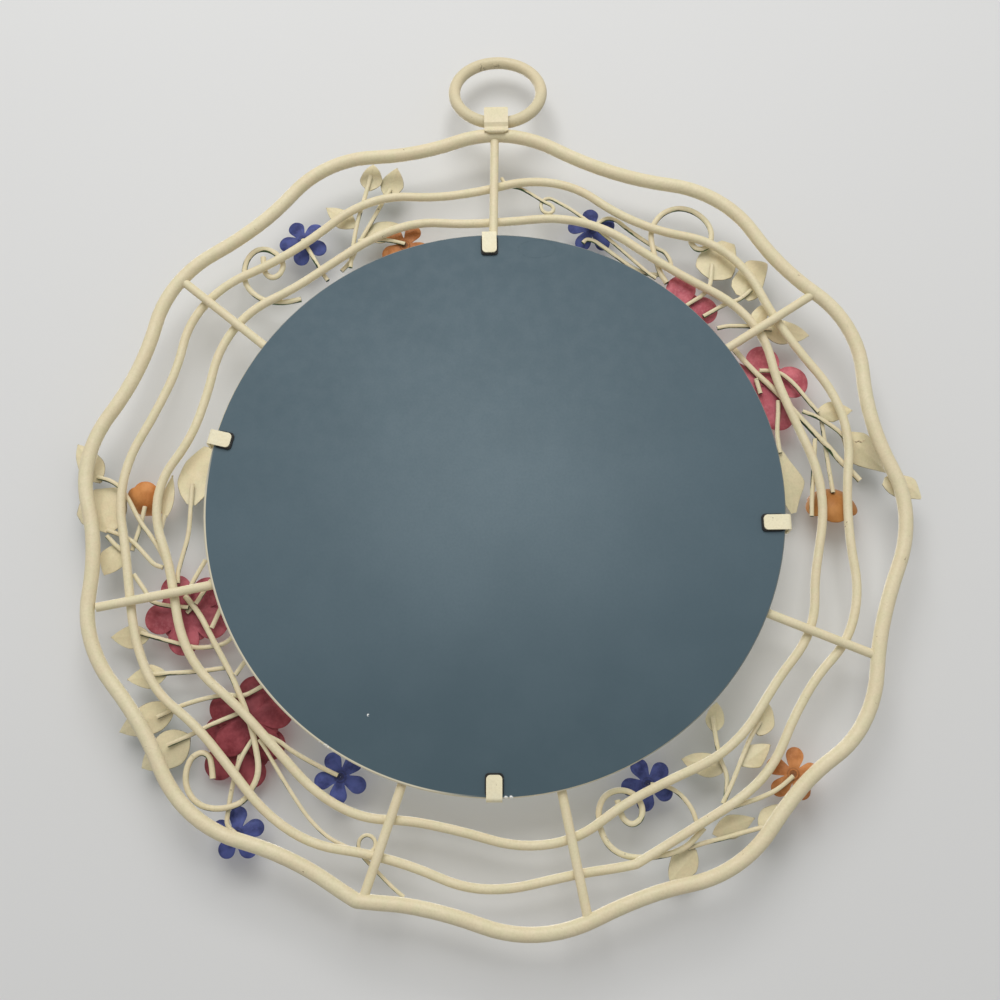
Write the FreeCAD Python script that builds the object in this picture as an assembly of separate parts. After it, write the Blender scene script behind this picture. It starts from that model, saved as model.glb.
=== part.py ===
import FreeCAD, Part
import math
import os

V = FreeCAD.Vector

# Round wall mirror in a forged wire frame of three wavy hoops with flower sprays.
# Millimetres, +Z up, front towards -Y, wall side towards +Y.
# Shapes are drawn about the middle of the glass seat, then moved so that zero is on the
# hinge line of the hanging ring, in the middle of its strap.

# Rods
outer_rod = 7.6
hoop_rod = 4.8
spoke_rod = 4.8
seat_rod = 4.9
main_rod = 3.1
stem_rod = 2.4
tendril_rod = 2.0
weld_bite = 0.02
shortest_run = 0.005
least_bulge = 0.001
kink_bend_ratio_share = 1.15

# Glass
glass_radius = 152.5
glass_thickness = 3.0
glass_bevel = 0.5

# Hoops, each a gap outside the last at its mean radius
seat_inset = 5.5
inner_hoop_gap = 19.5
middle_hoop_gap = 19.0
outer_hoop_gap = 22.5
inner_wave_height = 10.0
middle_wave_height = 10.0
outer_wave_height = 10.0
seat_radius = glass_radius - seat_inset
inner_hoop_radius = glass_radius + inner_hoop_gap
middle_hoop_radius = inner_hoop_radius + middle_hoop_gap
outer_hoop_radius = middle_hoop_radius + outer_hoop_gap

# Clips and pads
clip_width = 8.0
clip_thickness = 1.2
clip_play_top = 0.4
clip_play_left = 2.2
clip_play_bottom = 0.4
clip_play_right = 1.5
clip_twist_right = 5.4
clip_foot_reach = 10.0
clip_corner = 2.2
clip_bend_outer = 1.8
clip_bend_inner = 0.6
pad_thickness = 1.0
pad_width = 9.4
pad_corner = 2.0
pad_show = 1.0
clip_tab_reach_top = 13.0
clip_tab_reach_left = 12.3
clip_tab_reach_bottom = 13.0
clip_tab_reach_right = 14.5
clip_angle_top = 90.2
clip_angle_left = 166.0
clip_angle_bottom = 269.1
clip_angle_right = 354.6

# Hanging ring and its strap
ring_radius = 25.2
ring_rod = 6.8
ring_lift = 0.7
ring_rest_tip = 16.4
strap_width = 13.6
strap_thickness = 1.5
strap_gap = 9.8
strap_height = 11.8
strap_lap = 3.6
strap_neck = 2.2
strap_bend_outer = 2.6
strap_bend_inner = 1.1
strap_corner = 2.2
hanger_across = 4.4
ring_slide = 1.2

# Pattern drawing: squares seen from behind, across to the right and up, counted from the
# middle of the glass, and read on one plane along a sight line that rises towards the front.
squares_to_middle_hoop_share = 19.1
pattern_square = middle_hoop_radius / squares_to_middle_hoop_share
pattern_depth = -13.0
sight_slope_share = 0.268
sight_distance = 690.0

# Sheet metal
sheet = 0.7
blank_gap = 0.03
leaf_cup_radius = 110.0
leaf_waist_share = 0.42
blossom_cup_radius = 45.0
small_petal_radius = 4.6
small_petal_distance = 9.4
small_notch_radius = 4.4
large_petal_radius = 8.4
large_petal_distance = 14.5
large_notch_radius = 7.0
large_cup_radius = 120.0
wide_petal_radius = 9.4
wide_petal_distance = 17.0
wide_notch_radius = 8.0
inner_petal_radius = 5.8
inner_petal_distance = 10.2
inner_notch_radius = 4.6
inner_cup_radius = 70.0
bell_petal_radius = 7.0
bell_petal_distance = 7.4
bell_notch_radius = 11.9
bell_cup_radius = 16.5
bud_petal_radius = 5.6
bud_petal_distance = 5.6
bud_notch_radius = 9.5
bud_cup_radius = 12.5
petals = 5

# Angles in degrees, heights as shares of the wave height above the mean radius.
outer_wave_shares = [
    (11.5, -0.60), (26.5, 0.35), (40, -0.42), (52.5, 0.22), (70, -0.89), (89, 0.35), (101, -0.25),
    (114, 0.45), (129, -0.50), (143.5, 0.23), (157.5, -0.57), (173.5, 0.47), (185, -0.18),
    (198.5, 0.65), (212, 0.01), (224.5, 0.61), (242, -0.60), (250.5, -0.15), (258.5, -0.58),
    (276, 0.45), (289, -0.09), (302, 0.58), (315.5, -0.11), (327, 0.56), (342.5, -0.35), (357, 0.30),
]
outer_kink = (250.5, 12.0)
middle_wave_shares = [
    (-2, -0.36), (14, 0.36), (31, -0.34), (46.5, 0.42), (63.5, -0.77), (79, 0.13), (96.5, -0.76),
    (111, 0.01), (125, -0.50), (144.5, 0.69), (158, -0.09), (177, 0.82), (188, 0.50), (205, 0.86),
    (220, -0.04), (238, 0.53), (253.5, -0.20), (268.5, 0.48), (280.5, 0.21), (290, 0.58),
    (300, 0.30), (311, 0.50), (327, -0.26), (340.5, 0.51),
]
middle_kink = (290, 9.0)
inner_wave_shares = [
    (0, 0.22), (20, -0.35), (35, 0.40), (55, -0.41), (71, 0.02), (92, -0.73), (107, -0.16),
    (126, -0.53), (144, 0.36), (162, -0.43), (179, 0.77), (192, 0.20), (204, 0.44), (222.5, -0.39),
    (243.5, 0.23), (258, -0.41), (278.5, 0.44), (296, -0.46), (315, 0.20), (325, 0.04),
    (337, 0.44), (348, 0.02),
]
spoke_angles = [
    (33.2, 33.6), (89.1, 89.4), (142.65, 143.9), (194.15, 195.9), (251.3, 251.5), (281.4, 281.9),
    (336.6, 336.4),
]

# Layers from the wall side to the front
hoop_depth = -(spoke_rod + hoop_rod) / 2 + weld_bite
main_depth = hoop_depth - (hoop_rod + main_rod) / 2 + weld_bite
stem_depth = hoop_depth - (hoop_rod + stem_rod) / 2 + weld_bite
tendril_depth = hoop_depth - (hoop_rod + tendril_rod) / 2 + weld_bite
over_main_depth = main_depth - (main_rod + stem_rod) / 2 + weld_bite
over_stem_depth = stem_depth - stem_rod + weld_bite
loop_depth = tendril_depth - tendril_rod - weld_bite
deep_blossom_drop = 6.0
straight_limit_share = 1e-9
straight_turn_share = 0.005

# Long curved rods of the sprays, in squares
scroll_a_shares = [
    (-10.67, 12.39), (-11.78, 12.17), (-12.89, 12.39), (-13.56, 12.94), (-13.89, 13.5),
    (-13.94, 14.28), (-13.78, 14.94), (-13.33, 15.44), (-12.78, 15.52), (-12.22, 15.28),
    (-11.83, 14.83), (-11.72, 14.39), (-11.94, 13.89), (-12.33, 13.7), (-12.72, 13.94),
    (-12.83, 14.39), (-12.89, 15.0),
]
scroll_b_shares = [
    (9.89, 13.0), (9.56, 13.56), (9.33, 14.44), (9.17, 15.33), (9.11, 16.11), (9.44, 16.9),
    (10.05, 17.45), (10.9, 17.65), (11.75, 17.35), (12.35, 16.75), (12.6, 16.1), (12.5, 15.44),
    (12.15, 15.05), (11.7, 15.0), (11.38, 15.4), (11.3, 16.0),
]
main_stem_c_shares = [
    (13.44, 8.94), (14.39, 7.67), (15.5, 6.56), (16.72, 5.0), (17.5, 4.0), (18.28, 3.11),
    (18.72, 2.44), (19.36, 1.76), (19.75, 1.27),
]
main_stem_d_shares = [
    (-16.44, -4.44), (-15.61, -5.44), (-14.72, -7.11), (-13.94, -8.44), (-13.28, -9.89),
    (-12.83, -11.0), (-12.5, -12.17), (-12.28, -13.28), (-12.33, -13.94), (-12.6, -14.5),
    (-12.94, -15.06), (-13.5, -15.33), (-14.28, -15.47), (-15.06, -15.33), (-15.6, -14.94),
    (-15.97, -14.28), (-16.0, -13.5), (-15.72, -12.83), (-15.22, -12.59), (-14.83, -12.78),
    (-14.67, -13.28), (-14.6, -13.94),
]
scroll_e_shares = [
    (6.0, -15.33), (6.1, -15.89), (6.28, -16.33), (6.67, -16.6), (7.1, -16.39), (7.28, -15.89),
    (7.11, -15.33), (6.67, -14.94), (6.0, -14.83), (5.33, -15.11), (5.0, -15.78), (5.06, -16.78),
    (5.44, -17.56), (6.0, -18.0), (6.78, -18.2), (7.67, -18.17), (8.67, -18.0), (9.44, -17.67),
    (9.89, -17.22), (10.3, -16.78),
]

# Tendrils: across and up in squares, then how far the rod is lifted over itself, as a share
tendril_b_shares = [
    (0.7, 19.73, 0), (0.89, 19.34, 0), (1.25, 19.17, 0), (1.78, 19.06, 0), (2.5, 18.6, 0),
    (3.1, 18.15, 0), (3.55, 17.95, 0), (3.7, 17.65, 0), (3.45, 17.42, 0), (3.05, 17.5, 0),
    (2.88, 17.9, 0.5), (3.05, 18.3, 1), (3.44, 18.4, 1), (4.0, 18.06, 0.5), (4.56, 17.72, 0),
    (5.11, 17.28, 0), (5.67, 16.83, 0), (7.0, 15.5, 0), (7.89, 14.61, 0), (9.0, 13.5, 0),
    (9.3, 13.3, 0),
]
tendril_d_shares = [
    (-12.3, -12.0, 0), (-12.06, -12.33, 0), (-11.28, -13.61, 0), (-10.5, -14.83, 0),
    (-9.72, -15.94, 0), (-8.94, -16.72, 0), (-8.39, -17.11, 0), (-7.55, -17.5, 0),
    (-6.9, -17.75, 0), (-6.4, -17.65, 0), (-6.22, -17.3, 0), (-6.4, -16.95, 0),
    (-6.72, -16.83, 0), (-7.05, -17.0, 0.5), (-7.15, -17.35, 1), (-7.05, -17.75, 1),
    (-6.67, -18.16, 0.5), (-6.1, -18.72, 0), (-5.44, -19.39, 0), (-4.83, -19.89, 0),
]

# Thin stems: points in squares, then the layer they lie in
stem_a_shares = [
    ([(-10.7, 16.05), (-10.33, 15.44), (-9.72, 14.33), (-9.39, 13.78), (-9.2, 13.5)], "stem"),
    ([(-7.94, 14.28), (-7.78, 15.83), (-7.61, 16.94), (-7.33, 18.06), (-7.06, 19.06),
      (-6.85, 20.0)], "stem"),
    ([(-8.44, 14.06), (-7.94, 14.61), (-7.33, 16.06), (-6.78, 17.06), (-6.22, 18.17),
      (-5.7, 19.1)], "over_stem"),
    ([(-7.52, 15.9), (-6.6, 16.0), (-5.6, 15.9), (-4.85, 15.68)], "stem"),
]
stem_b_shares = [
    ([(5.85, 16.55), (6.67, 17.11), (7.22, 16.94), (7.89, 16.28), (8.89, 15.5), (9.44, 15.11),
      (9.89, 14.89), (10.17, 14.33), (10.2, 13.95)], "over_main"),
    ([(10.45, 11.26), (11.06, 11.72), (11.89, 12.22), (12.33, 12.78), (12.5, 14.1)], "stem"),
    ([(11.83, 10.94), (13.1, 11.67), (14.0, 11.94), (14.6, 12.5)], "stem"),
    ([(12.56, 10.22), (13.1, 10.35), (14.3, 10.33), (15.6, 10.1)], "stem"),
    ([(5.25, 15.55), (5.45, 15.78), (5.9, 15.68), (6.5, 15.2), (7.2, 14.6), (8.0, 13.95),
      (8.8, 13.55), (9.62, 13.5)], "over_main"),
]
stem_c_shares = [
    ([(14.74, 7.67), (15.28, 7.67), (15.94, 7.5), (16.6, 6.89), (17.28, 5.89), (17.8, 5.19)], "stem"),
    ([(16.95, 5.27), (17.83, 4.89), (18.83, 4.11), (19.3, 3.5)], "stem"),
    ([(15.66, 5.9), (15.6, 5.1), (15.45, 4.0), (15.55, 2.9)], "stem"),
    ([(17.5, 3.67), (17.44, 3.0), (17.28, 1.89), (17.06, 0.1), (17.0, -0.67)], "stem"),
    ([(17.94, 4.78), (18.06, 2.78), (18.24, 0.62)], "over_main"),
    ([(14.53, 7.2), (14.72, 6.33)], "stem"),
]
stem_d_upper_shares = [
    ([(-21.5, 2.2), (-20.5, 1.89), (-19.83, 1.11), (-19.06, -0.33), (-18.28, -1.33),
      (-17.72, -2.22), (-17.28, -3.33)], "stem"),
    ([(-20.78, -0.78), (-19.5, -1.28), (-18.72, -2.11), (-18.17, -2.72), (-17.68, -2.88)], "stem"),
    ([(-18.83, 0.5), (-19.0, -0.56), (-19.39, -1.94)], "over_stem"),
    ([(-19.22, -3.22), (-18.5, -4.22), (-18.28, -4.67), (-17.72, -4.89), (-16.94, -5.0),
      (-16.23, -5.06)], "stem"),
    ([(-16.33, 1.72), (-16.39, -1.11), (-16.72, -2.44), (-16.89, -3.22), (-16.86, -3.75)], "stem"),
    ([(-20.78, -1.1), (-20.3, -1.6), (-19.94, -1.9)], "stem"),
    ([(-18.0, -1.4), (-17.75, 0.0)], "stem"),
    ([(-15.95, -4.95), (-16.31, -5.35)], "over_main"),
    ([(-15.43, -2.5), (-16.11, -3.74), (-16.27, -4.33)], "stem"),
    ([(-15.09, -3.6), (-15.7, -4.61), (-15.86, -4.86)], "stem"),
]
stem_d_lower_shares = [
    ([(-18.67, -6.39), (-17.6, -6.72), (-16.5, -7.02), (-15.72, -7.22), (-14.94, -7.17),
      (-14.3, -7.05), (-13.75, -6.6)], "over_main"),
    ([(-17.94, -8.56), (-15.39, -8.44), (-14.44, -8.31), (-13.95, -8.27)], "over_main"),
    ([(-12.99, -7.73), (-13.64, -8.66)], "stem"),
    ([(-14.53, -5.12), (-14.97, -6.17)], "stem"),
    ([(-17.6, -10.78), (-16.6, -10.28), (-15.39, -9.89), (-14.0, -9.66), (-13.35, -9.78),
      (-12.95, -9.68), (-12.2, -9.27)], "over_main"),
    ([(-17.0, -12.22), (-15.83, -11.72), (-14.72, -11.17), (-13.6, -10.73), (-12.98, -10.5)],
     "over_main"),
    ([(-13.35, -16.66), (-13.83, -16.28), (-13.72, -15.17), (-13.5, -13.83), (-13.17, -12.83),
      (-12.6, -11.95)], "over_main"),
    ([(-12.77, -11.2), (-12.88, -10.92)], "over_main"),
    ([(-12.5, -11.5), (-11.17, -12.17), (-10.78, -12.5), (-9.67, -13.17), (-8.22, -13.89)],
     "over_main"),
]
deep_stem_shares = [(-13.47, -13.7), (-13.28, -13.05), (-13.25, -12.3)]
stem_e_shares = [
    ([(7.7, -14.6), (8.67, -14.72), (9.33, -15.22), (9.78, -15.89), (9.94, -16.44),
      (10.1, -17.1)], "over_main"),
    ([(11.33, -15.61), (11.89, -14.56), (12.56, -13.11), (12.94, -12.33), (13.5, -11.5)], "stem"),
    ([(11.5, -15.25), (11.67, -14.22), (11.33, -13.44), (11.17, -12.44), (11.08, -11.2)],
     "over_stem"),
    ([(11.38, -15.92), (12.22, -15.67), (13.33, -15.33), (14.22, -14.94), (15.0, -14.3)], "stem"),
    ([(9.44, -17.78), (10.33, -17.5), (11.22, -17.33), (12.22, -17.06), (13.3, -16.8)],
     "over_main"),
]

# Leaves: base, tip, width in squares, layer of the rod they sit on, then how far along the
# leaf it is held where that isn't its base
leaf_a_shares = [
    ((-5.85, 18.6), (-5.35, 20.6), 1.35, "over_stem"),
    ((-6.9, 19.1), (-6.72, 20.8), 1.3, "stem"),
    ((-7.65, 16.75), (-9.4, 18.14), 1.2, "stem"),
    ((-7.2, 16.2), (-5.0, 17.0), 1.35, "over_stem"),
]
leaf_b_shares = [
    ((12.4, 13.2), (13.3, 15.7), 2.1, "stem"),
    ((14.1, 12.05), (15.6, 14.3), 1.75, "stem"),
    ((15.0, 10.15), (17.77, 9.9), 1.5, "stem"),
    ((14.6, 10.42), (15.5, 11.7), 0.9, "stem"),
]
leaf_c_shares = [
    ((17.7, 5.2), (19.72, 5.33), 1.2, "stem"),
    ((18.9, 3.95), (21.17, 1.67), 2.1, "stem"),
    ((20.98, 1.12), (23.0, 0.25), 1.5, "outer", 0.3),
    ((15.55, 3.2), (16.3, -0.3), 2.0, "stem"),
]
leaf_d_upper_shares = [
    ((-21.3, 1.9), (-22.83, 4.2), 1.4, "stem"),
    ((-20.6, -0.9), (-20.8, 1.7), 1.7, "stem"),
    ((-20.1, -1.6), (-20.85, -3.2), 1.5, "stem"),
    ((-17.75, -0.3), (-17.5, 2.3), 0.7, "stem"),
    ((-16.28, 0.55), (-15.65, 4.02), 1.7, "stem"),
]
leaf_d_lower_shares = [
    ((-18.2, -6.55), (-20.3, -6.53), 1.3, "over_main"),
    ((-17.2, -8.55), (-19.3, -8.78), 1.3, "over_main"),
    ((-16.7, -10.3), (-19.7, -11.45), 1.7, "over_main"),
    ((-15.9, -11.75), (-18.4, -13.3), 1.9, "over_main"),
]
leaf_e_shares = [
    ((11.1, -12.0), (11.35, -10.5), 1.0, "over_stem"),
    ((13.4, -12.2), (13.95, -10.5), 1.35, "stem"),
    ((11.6, -13.9), (9.39, -13.34), 1.25, "over_stem"),
    ((12.4, -13.7), (13.94, -12.7), 1.25, "stem"),
    ((10.72, -17.1), (12.94, -16.35), 1.25, "over_main"),
    ((13.1, -16.85), (14.7, -15.8), 1.3, "over_main"),
    ((9.8, -17.85), (8.5, -19.4), 1.45, "over_main"),
]

# Blossoms: node, centre in squares, turn, layer of the stem behind, kind, then the way the
# face leans from the front and how far, in degrees
blossom_shares = [
    ("purple_blossom_a", (-10.65, 16.05), 46, "stem", "small", 0, 0),
    ("purple_blossom_b", (5.8, 16.5), 20, "over_main", "small", 0, 0),
    ("purple_blossom_d1", (-13.3, -16.7), 18, "over_main", "small", 0, 0),
    ("purple_blossom_d2", (-8.1, -13.95), 46, "over_main", "small", 0, 0),
    ("purple_blossom_e", (7.61, -14.56), 44, "over_main", "small", 0, 0),
    ("orange_blossom_a", (-4.88, 15.65), 60, "stem", "small", 0, 0),
    ("orange_blossom_c", (18.24, 0.62), 54, "over_main", "bell", 270, 40),
    ("orange_blossom_d", (-18.83, 0.5), 18, "over_stem", "bud", 90, 45),
    ("orange_blossom_e", (15.04, -14.2), 8, "stem", "small", 0, 0),
    ("pink_blossom_b", (10.45, 11.26), 8, "stem", "large", 0, 0),
    ("pink_blossom_c", (14.9, 6.8), 11, "main", "wide", 0, 0),
    ("pink_blossom_d1", (-16.31, -5.3), 48, "over_main", "large", 0, 0),
    ("pink_blossom_d2", (-13.25, -12.3), 2, "deep", "large", 0, 0),
    ("pink_blossom_d3", (-12.88, -10.92), 12, "over_main", "large", 0, 0),
]

os.makedirs("parts", exist_ok=True)

layer_depths = {
    "outer": 0,
    "main": main_depth,
    "stem": stem_depth,
    "over_main": over_main_depth,
    "over_stem": over_stem_depth,
    "deep": over_main_depth - deep_blossom_drop,
}
layer_radii = {
    "outer": outer_rod / 2,
    "main": main_rod / 2,
    "stem": stem_rod / 2,
    "over_main": stem_rod / 2,
    "over_stem": stem_rod / 2,
    "deep": stem_rod / 2,
}
# Sheet blanks of each kind of blossom: notch, petal distance, petal radius, cup radius
blossom_kinds = {
    "small": [
        (small_notch_radius, small_petal_distance, small_petal_radius, blossom_cup_radius),
    ],
    "bell": [
        (bell_notch_radius, bell_petal_distance, bell_petal_radius, bell_cup_radius),
    ],
    "bud": [
        (bud_notch_radius, bud_petal_distance, bud_petal_radius, bud_cup_radius),
    ],
    "large": [
        (large_notch_radius, large_petal_distance, large_petal_radius, large_cup_radius),
        (inner_notch_radius, inner_petal_distance, inner_petal_radius, inner_cup_radius),
    ],
    "wide": [
        (wide_notch_radius, wide_petal_distance, wide_petal_radius, large_cup_radius),
        (inner_notch_radius, inner_petal_distance, inner_petal_radius, inner_cup_radius),
    ],
}


def export(name, shapes):
    shape = shapes[0] if len(shapes) == 1 else Part.makeCompound(shapes)
    shape.translate(ring_axis * -1)
    shape.exportStep("parts/" + name + ".step")
    shape.translate(ring_axis)


def ring_point(angle, radius, depth):
    turn = math.radians(angle)
    return V(-radius * math.cos(turn), depth, radius * math.sin(turn))


def place(across, up, depth):
    spread = 1 + (pattern_depth - depth) / sight_distance
    drop = (pattern_depth - depth) * sight_slope_share
    return V(-across * pattern_square * spread, depth, up * pattern_square * spread + drop)


def arc_from_tangent(start, tangent, end):
    chord = end - start
    normal = (chord - tangent * chord.dot(tangent))
    if normal.Length < least_bulge:
        return Part.makeLine(start, end)
    normal.normalize()
    radius = chord.dot(chord) / (2 * chord.dot(normal))
    centre = start + normal * radius
    middle = (start + end) / 2 - centre
    if chord.dot(tangent) < 0:
        middle = middle * -1
    middle.normalize()
    return Part.Arc(start, centre + middle * radius, end).toShape()


def two_arcs(start, start_tangent, end, end_tangent):
    chord = end - start
    both = start_tangent + end_tangent
    a = 2 * (1 - start_tangent.dot(end_tangent))
    b = 2 * chord.dot(both)
    c = -chord.dot(chord)
    if abs(a) < straight_limit_share:
        reach = -c / b
    else:
        reach = (-b + math.sqrt(b * b - 4 * a * c)) / (2 * a)
    joint = (start + start_tangent * reach + end - end_tangent * reach) / 2
    first = arc_from_tangent(start, start_tangent, joint)
    second = arc_from_tangent(end, end_tangent * -1, joint)
    return [first, second]


def slope_tangent(angle, slope):
    turn = math.radians(angle)
    outward = V(-math.cos(turn), 0, math.sin(turn))
    along = V(math.sin(turn), 0, math.cos(turn))
    lean = math.radians(slope)
    return along * math.cos(lean) + outward * math.sin(lean)


def wavy_hoop(radius, height, waves, kink, rod, depth):
    nodes = []
    for angle, share in waves:
        point = ring_point(angle, radius + height * share, depth)
        if kink and angle == kink[0]:
            into = slope_tangent(angle, kink[1])
            away = slope_tangent(angle, -kink[1])
            bend = rod / 2 * kink_bend_ratio_share
            cut = bend * math.tan(math.radians(kink[1]))
            nodes.append((point - into * cut, into, point + away * cut, away))
        else:
            along = slope_tangent(angle, 0)
            nodes.append((point, along, point, along))
    edges = []
    for index, node in enumerate(nodes):
        following = nodes[(index + 1) % len(nodes)]
        if (node[2] - node[0]).Length > shortest_run:
            edges.append(arc_from_tangent(node[0], node[1], node[2]))
        edges += two_arcs(node[2], node[3], following[0], following[1])
    return sweep(edges, rod, nodes[0][2], nodes[0][3])


def sweep(edges, rod, start, tangent):
    path = Part.Wire(Part.__sortEdges__(edges))
    circle = Part.Wire(Part.makeCircle(rod / 2, start, tangent))
    return path.makePipeShell([circle], True, False)


def smooth_edges(points):
    edges = []
    here = points[0]
    for index in range(1, len(points) - 1):
        before, corner, after = points[index - 1], points[index], points[index + 1]
        back = before - corner
        on = after - corner
        cut = min(back.Length, on.Length) / 2
        back.normalize()
        on.normalize()
        first = corner + back * cut
        last = corner + on * cut
        if (first - here).Length > shortest_run:
            edges.append(Part.makeLine(here, first))
        else:
            first = here
        if (back + on).Length > straight_turn_share:
            edges.append(arc_from_tangent(first, back * -1, last))
        else:
            edges.append(Part.makeLine(first, last))
        here = last
    edges.append(Part.makeLine(here, points[-1]))
    return edges


def rod_along(points, rod):
    edges = smooth_edges(points)
    tangent = points[1] - points[0]
    tangent.normalize()
    return sweep(edges, rod, points[0], tangent)


def flat_rod(shares, depth, rod):
    return rod_along([place(across, up, depth) for across, up in shares], rod)


def tendril(shares):
    points = []
    for across, up, lift in shares:
        depth = tendril_depth + (loop_depth - tendril_depth) * lift
        points.append(place(across, up, depth))
    return rod_along(points, tendril_rod)


def layer_stems(table):
    solids = []
    for points, layer in table:
        solids.append(flat_rod(points, layer_depths[layer], stem_rod))
    return solids


def cupped(face, pole, cup_radius):
    slab = face.extrude(V(0, cup_radius, 0))
    slab.translate(V(0, sheet - cup_radius, 0))
    middle = pole - V(0, cup_radius, 0)
    shell = Part.makeSphere(cup_radius, middle).cut(Part.makeSphere(cup_radius - sheet, middle))
    solid = slab.common(shell)
    return solid.Solids[0] if len(solid.Solids) == 1 else solid


def leaf(base, tip, width, layer, held=0):
    depth = layer_depths[layer] - layer_radii[layer] + weld_bite
    start = place(base[0], base[1], depth)
    end = place(tip[0], tip[1], depth)
    along = end - start
    length = along.Length
    along.normalize()
    side = along.cross(V(0, 1, 0))
    waist = start + along * length * leaf_waist_share
    half = width * pattern_square / 2
    edges = []
    for turn in (1, -1):
        shoulder = waist + side * half * turn
        edges.append(arc_from_tangent(shoulder, along, end))
        edges.append(arc_from_tangent(shoulder, along * -1, start))
    face = Part.Face(Part.Wire(Part.__sortEdges__(edges)))
    return cupped(face, start + along * length * held, leaf_cup_radius)


def petal_face(centre, turn, notch, distance, radius):
    edges = []
    for index in range(petals):
        middle_angle = turn + 360 / petals * index
        middle = centre + ring_point(middle_angle, distance, 0)
        touches = []
        notches = []
        for side in (-1, 1):
            dip = centre + ring_point(middle_angle + side * 180 / petals, notch, 0)
            out = dip - middle
            lean = math.degrees(math.acos(radius / out.Length))
            out.normalize()
            arm = FreeCAD.Rotation(V(0, 1, 0), -side * lean).multVec(out)
            touches.append(middle + arm * radius)
            notches.append(dip)
        crown = middle + ring_point(middle_angle, radius, 0)
        edges.append(Part.makeLine(notches[0], touches[0]))
        edges.append(Part.Arc(touches[0], crown, touches[1]).toShape())
        edges.append(Part.makeLine(touches[1], notches[1]))
    return Part.Face(Part.Wire(Part.__sortEdges__(edges)))


def blossom(centre, turn, layer, kind, way, lean):
    tilt = math.radians(lean)
    facing = V(0, -math.cos(tilt), 0) + ring_point(way, math.sin(tilt), 0)
    seated = layer_radii[layer] * math.cos(tilt) - weld_bite
    pole = place(centre[0], centre[1], layer_depths[layer]) + facing * seated
    blanks = []
    for notch, distance, radius, cup_radius in blossom_kinds[kind]:
        front = pole - V(0, (sheet + blank_gap) * len(blanks), 0)
        face = petal_face(front, turn + 180 / petals * len(blanks), notch, distance, radius)
        solid = cupped(face, front, cup_radius)
        solid.rotate(pole, V(0, -1, 0).cross(ring_point(way, 1, 0)), lean)
        blanks.append(solid)
    return blanks


def rounded_outline(points, radii):
    edges = []
    count = len(points)
    ends = []
    for index in range(count):
        before, corner, after = points[index - 1], points[index], points[(index + 1) % count]
        back = before - corner
        on = after - corner
        back.normalize()
        on.normalize()
        angle = back.getAngle(on)
        cut = radii[index] / math.tan(angle / 2)
        ends.append((corner + back * cut, corner + on * cut, back * -1, radii[index]))
    for index in range(count):
        first, last, tangent, radius = ends[index]
        if radius > 0:
            edges.append(arc_from_tangent(first, tangent, last))
        edges.append(Part.makeLine(last, ends[(index + 1) % count][0]))
    return Part.Face(Part.Wire(edges))


crest_angle, crest_share = outer_wave_shares[5]
crest = ring_point(crest_angle, outer_hoop_radius + outer_wave_height * crest_share, 0)
hanger = V(-hanger_across, 0, crest.z)
ring_axis = hanger + V(0, 0, (outer_rod + ring_rod) / 2 + ring_lift)
glass_front = seat_rod / 2
glass_back = glass_front + glass_thickness


def clip(angle, tab_reach, play, twist):
    inner_leg = glass_radius + play
    outer_leg = inner_leg + clip_thickness
    foot_front = -seat_rod / 2 - clip_thickness + weld_bite
    foot_back = foot_front + clip_thickness
    tab_front = glass_back + pad_thickness
    tab_back = tab_front + clip_thickness
    foot_end = outer_leg - clip_foot_reach
    tab_end = outer_leg - tab_reach
    points = [
        V(0, foot_front, foot_end), V(0, foot_front, outer_leg), V(0, tab_back, outer_leg),
        V(0, tab_back, tab_end), V(0, tab_front, tab_end), V(0, tab_front, inner_leg),
        V(0, foot_back, inner_leg), V(0, foot_back, foot_end),
    ]
    outer, inner = clip_bend_outer, clip_bend_inner
    face = rounded_outline(points, [0, outer, outer, 0, 0, inner, inner, 0])
    body = face.extrude(V(clip_width, 0, 0))
    body.translate(V(-clip_width / 2, 0, 0))
    half = clip_width / 2
    outline = rounded_outline(
        [V(-half, foot_front, tab_end), V(half, foot_front, tab_end),
         V(half, foot_front, outer_leg), V(-half, foot_front, outer_leg)],
        [clip_corner, clip_corner, 0, 0],
    )
    body = body.common(outline.extrude(V(0, tab_back - foot_front, 0)))
    pad = clip_pad(tab_end)
    for piece in (body, pad):
        piece.rotate(V(0, 0, inner_leg), V(0, 1, 0), twist)
        piece.rotate(V(0, 0, 0), V(0, 1, 0), angle - 90)
    return body.Solids[0], pad.Solids[0]


def clip_pad(tab_end):
    half = pad_width / 2
    low = tab_end - pad_show
    high = glass_radius - pad_show
    points = [V(-half, glass_back, low), V(half, glass_back, low), V(half, glass_back, high),
              V(-half, glass_back, high)]
    face = rounded_outline(points, [pad_corner] * 4)
    return face.extrude(V(0, pad_thickness, 0))


# Hoops, seat ring and spokes
outer_hoop = wavy_hoop(outer_hoop_radius, outer_wave_height, outer_wave_shares, outer_kink,
                       outer_rod, 0)
middle_hoop = wavy_hoop(middle_hoop_radius, middle_wave_height, middle_wave_shares, middle_kink,
                        hoop_rod, hoop_depth)
inner_hoop = wavy_hoop(inner_hoop_radius, inner_wave_height, inner_wave_shares, None, hoop_rod,
                       hoop_depth)
seat_ring = Part.makeTorus(seat_radius, seat_rod / 2, V(0, 0, 0), V(0, 1, 0))
export("outer_hoop", [outer_hoop])
export("middle_hoop", [middle_hoop])
export("inner_hoop", [inner_hoop])
export("mirror_seat_ring", [seat_ring])

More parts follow.
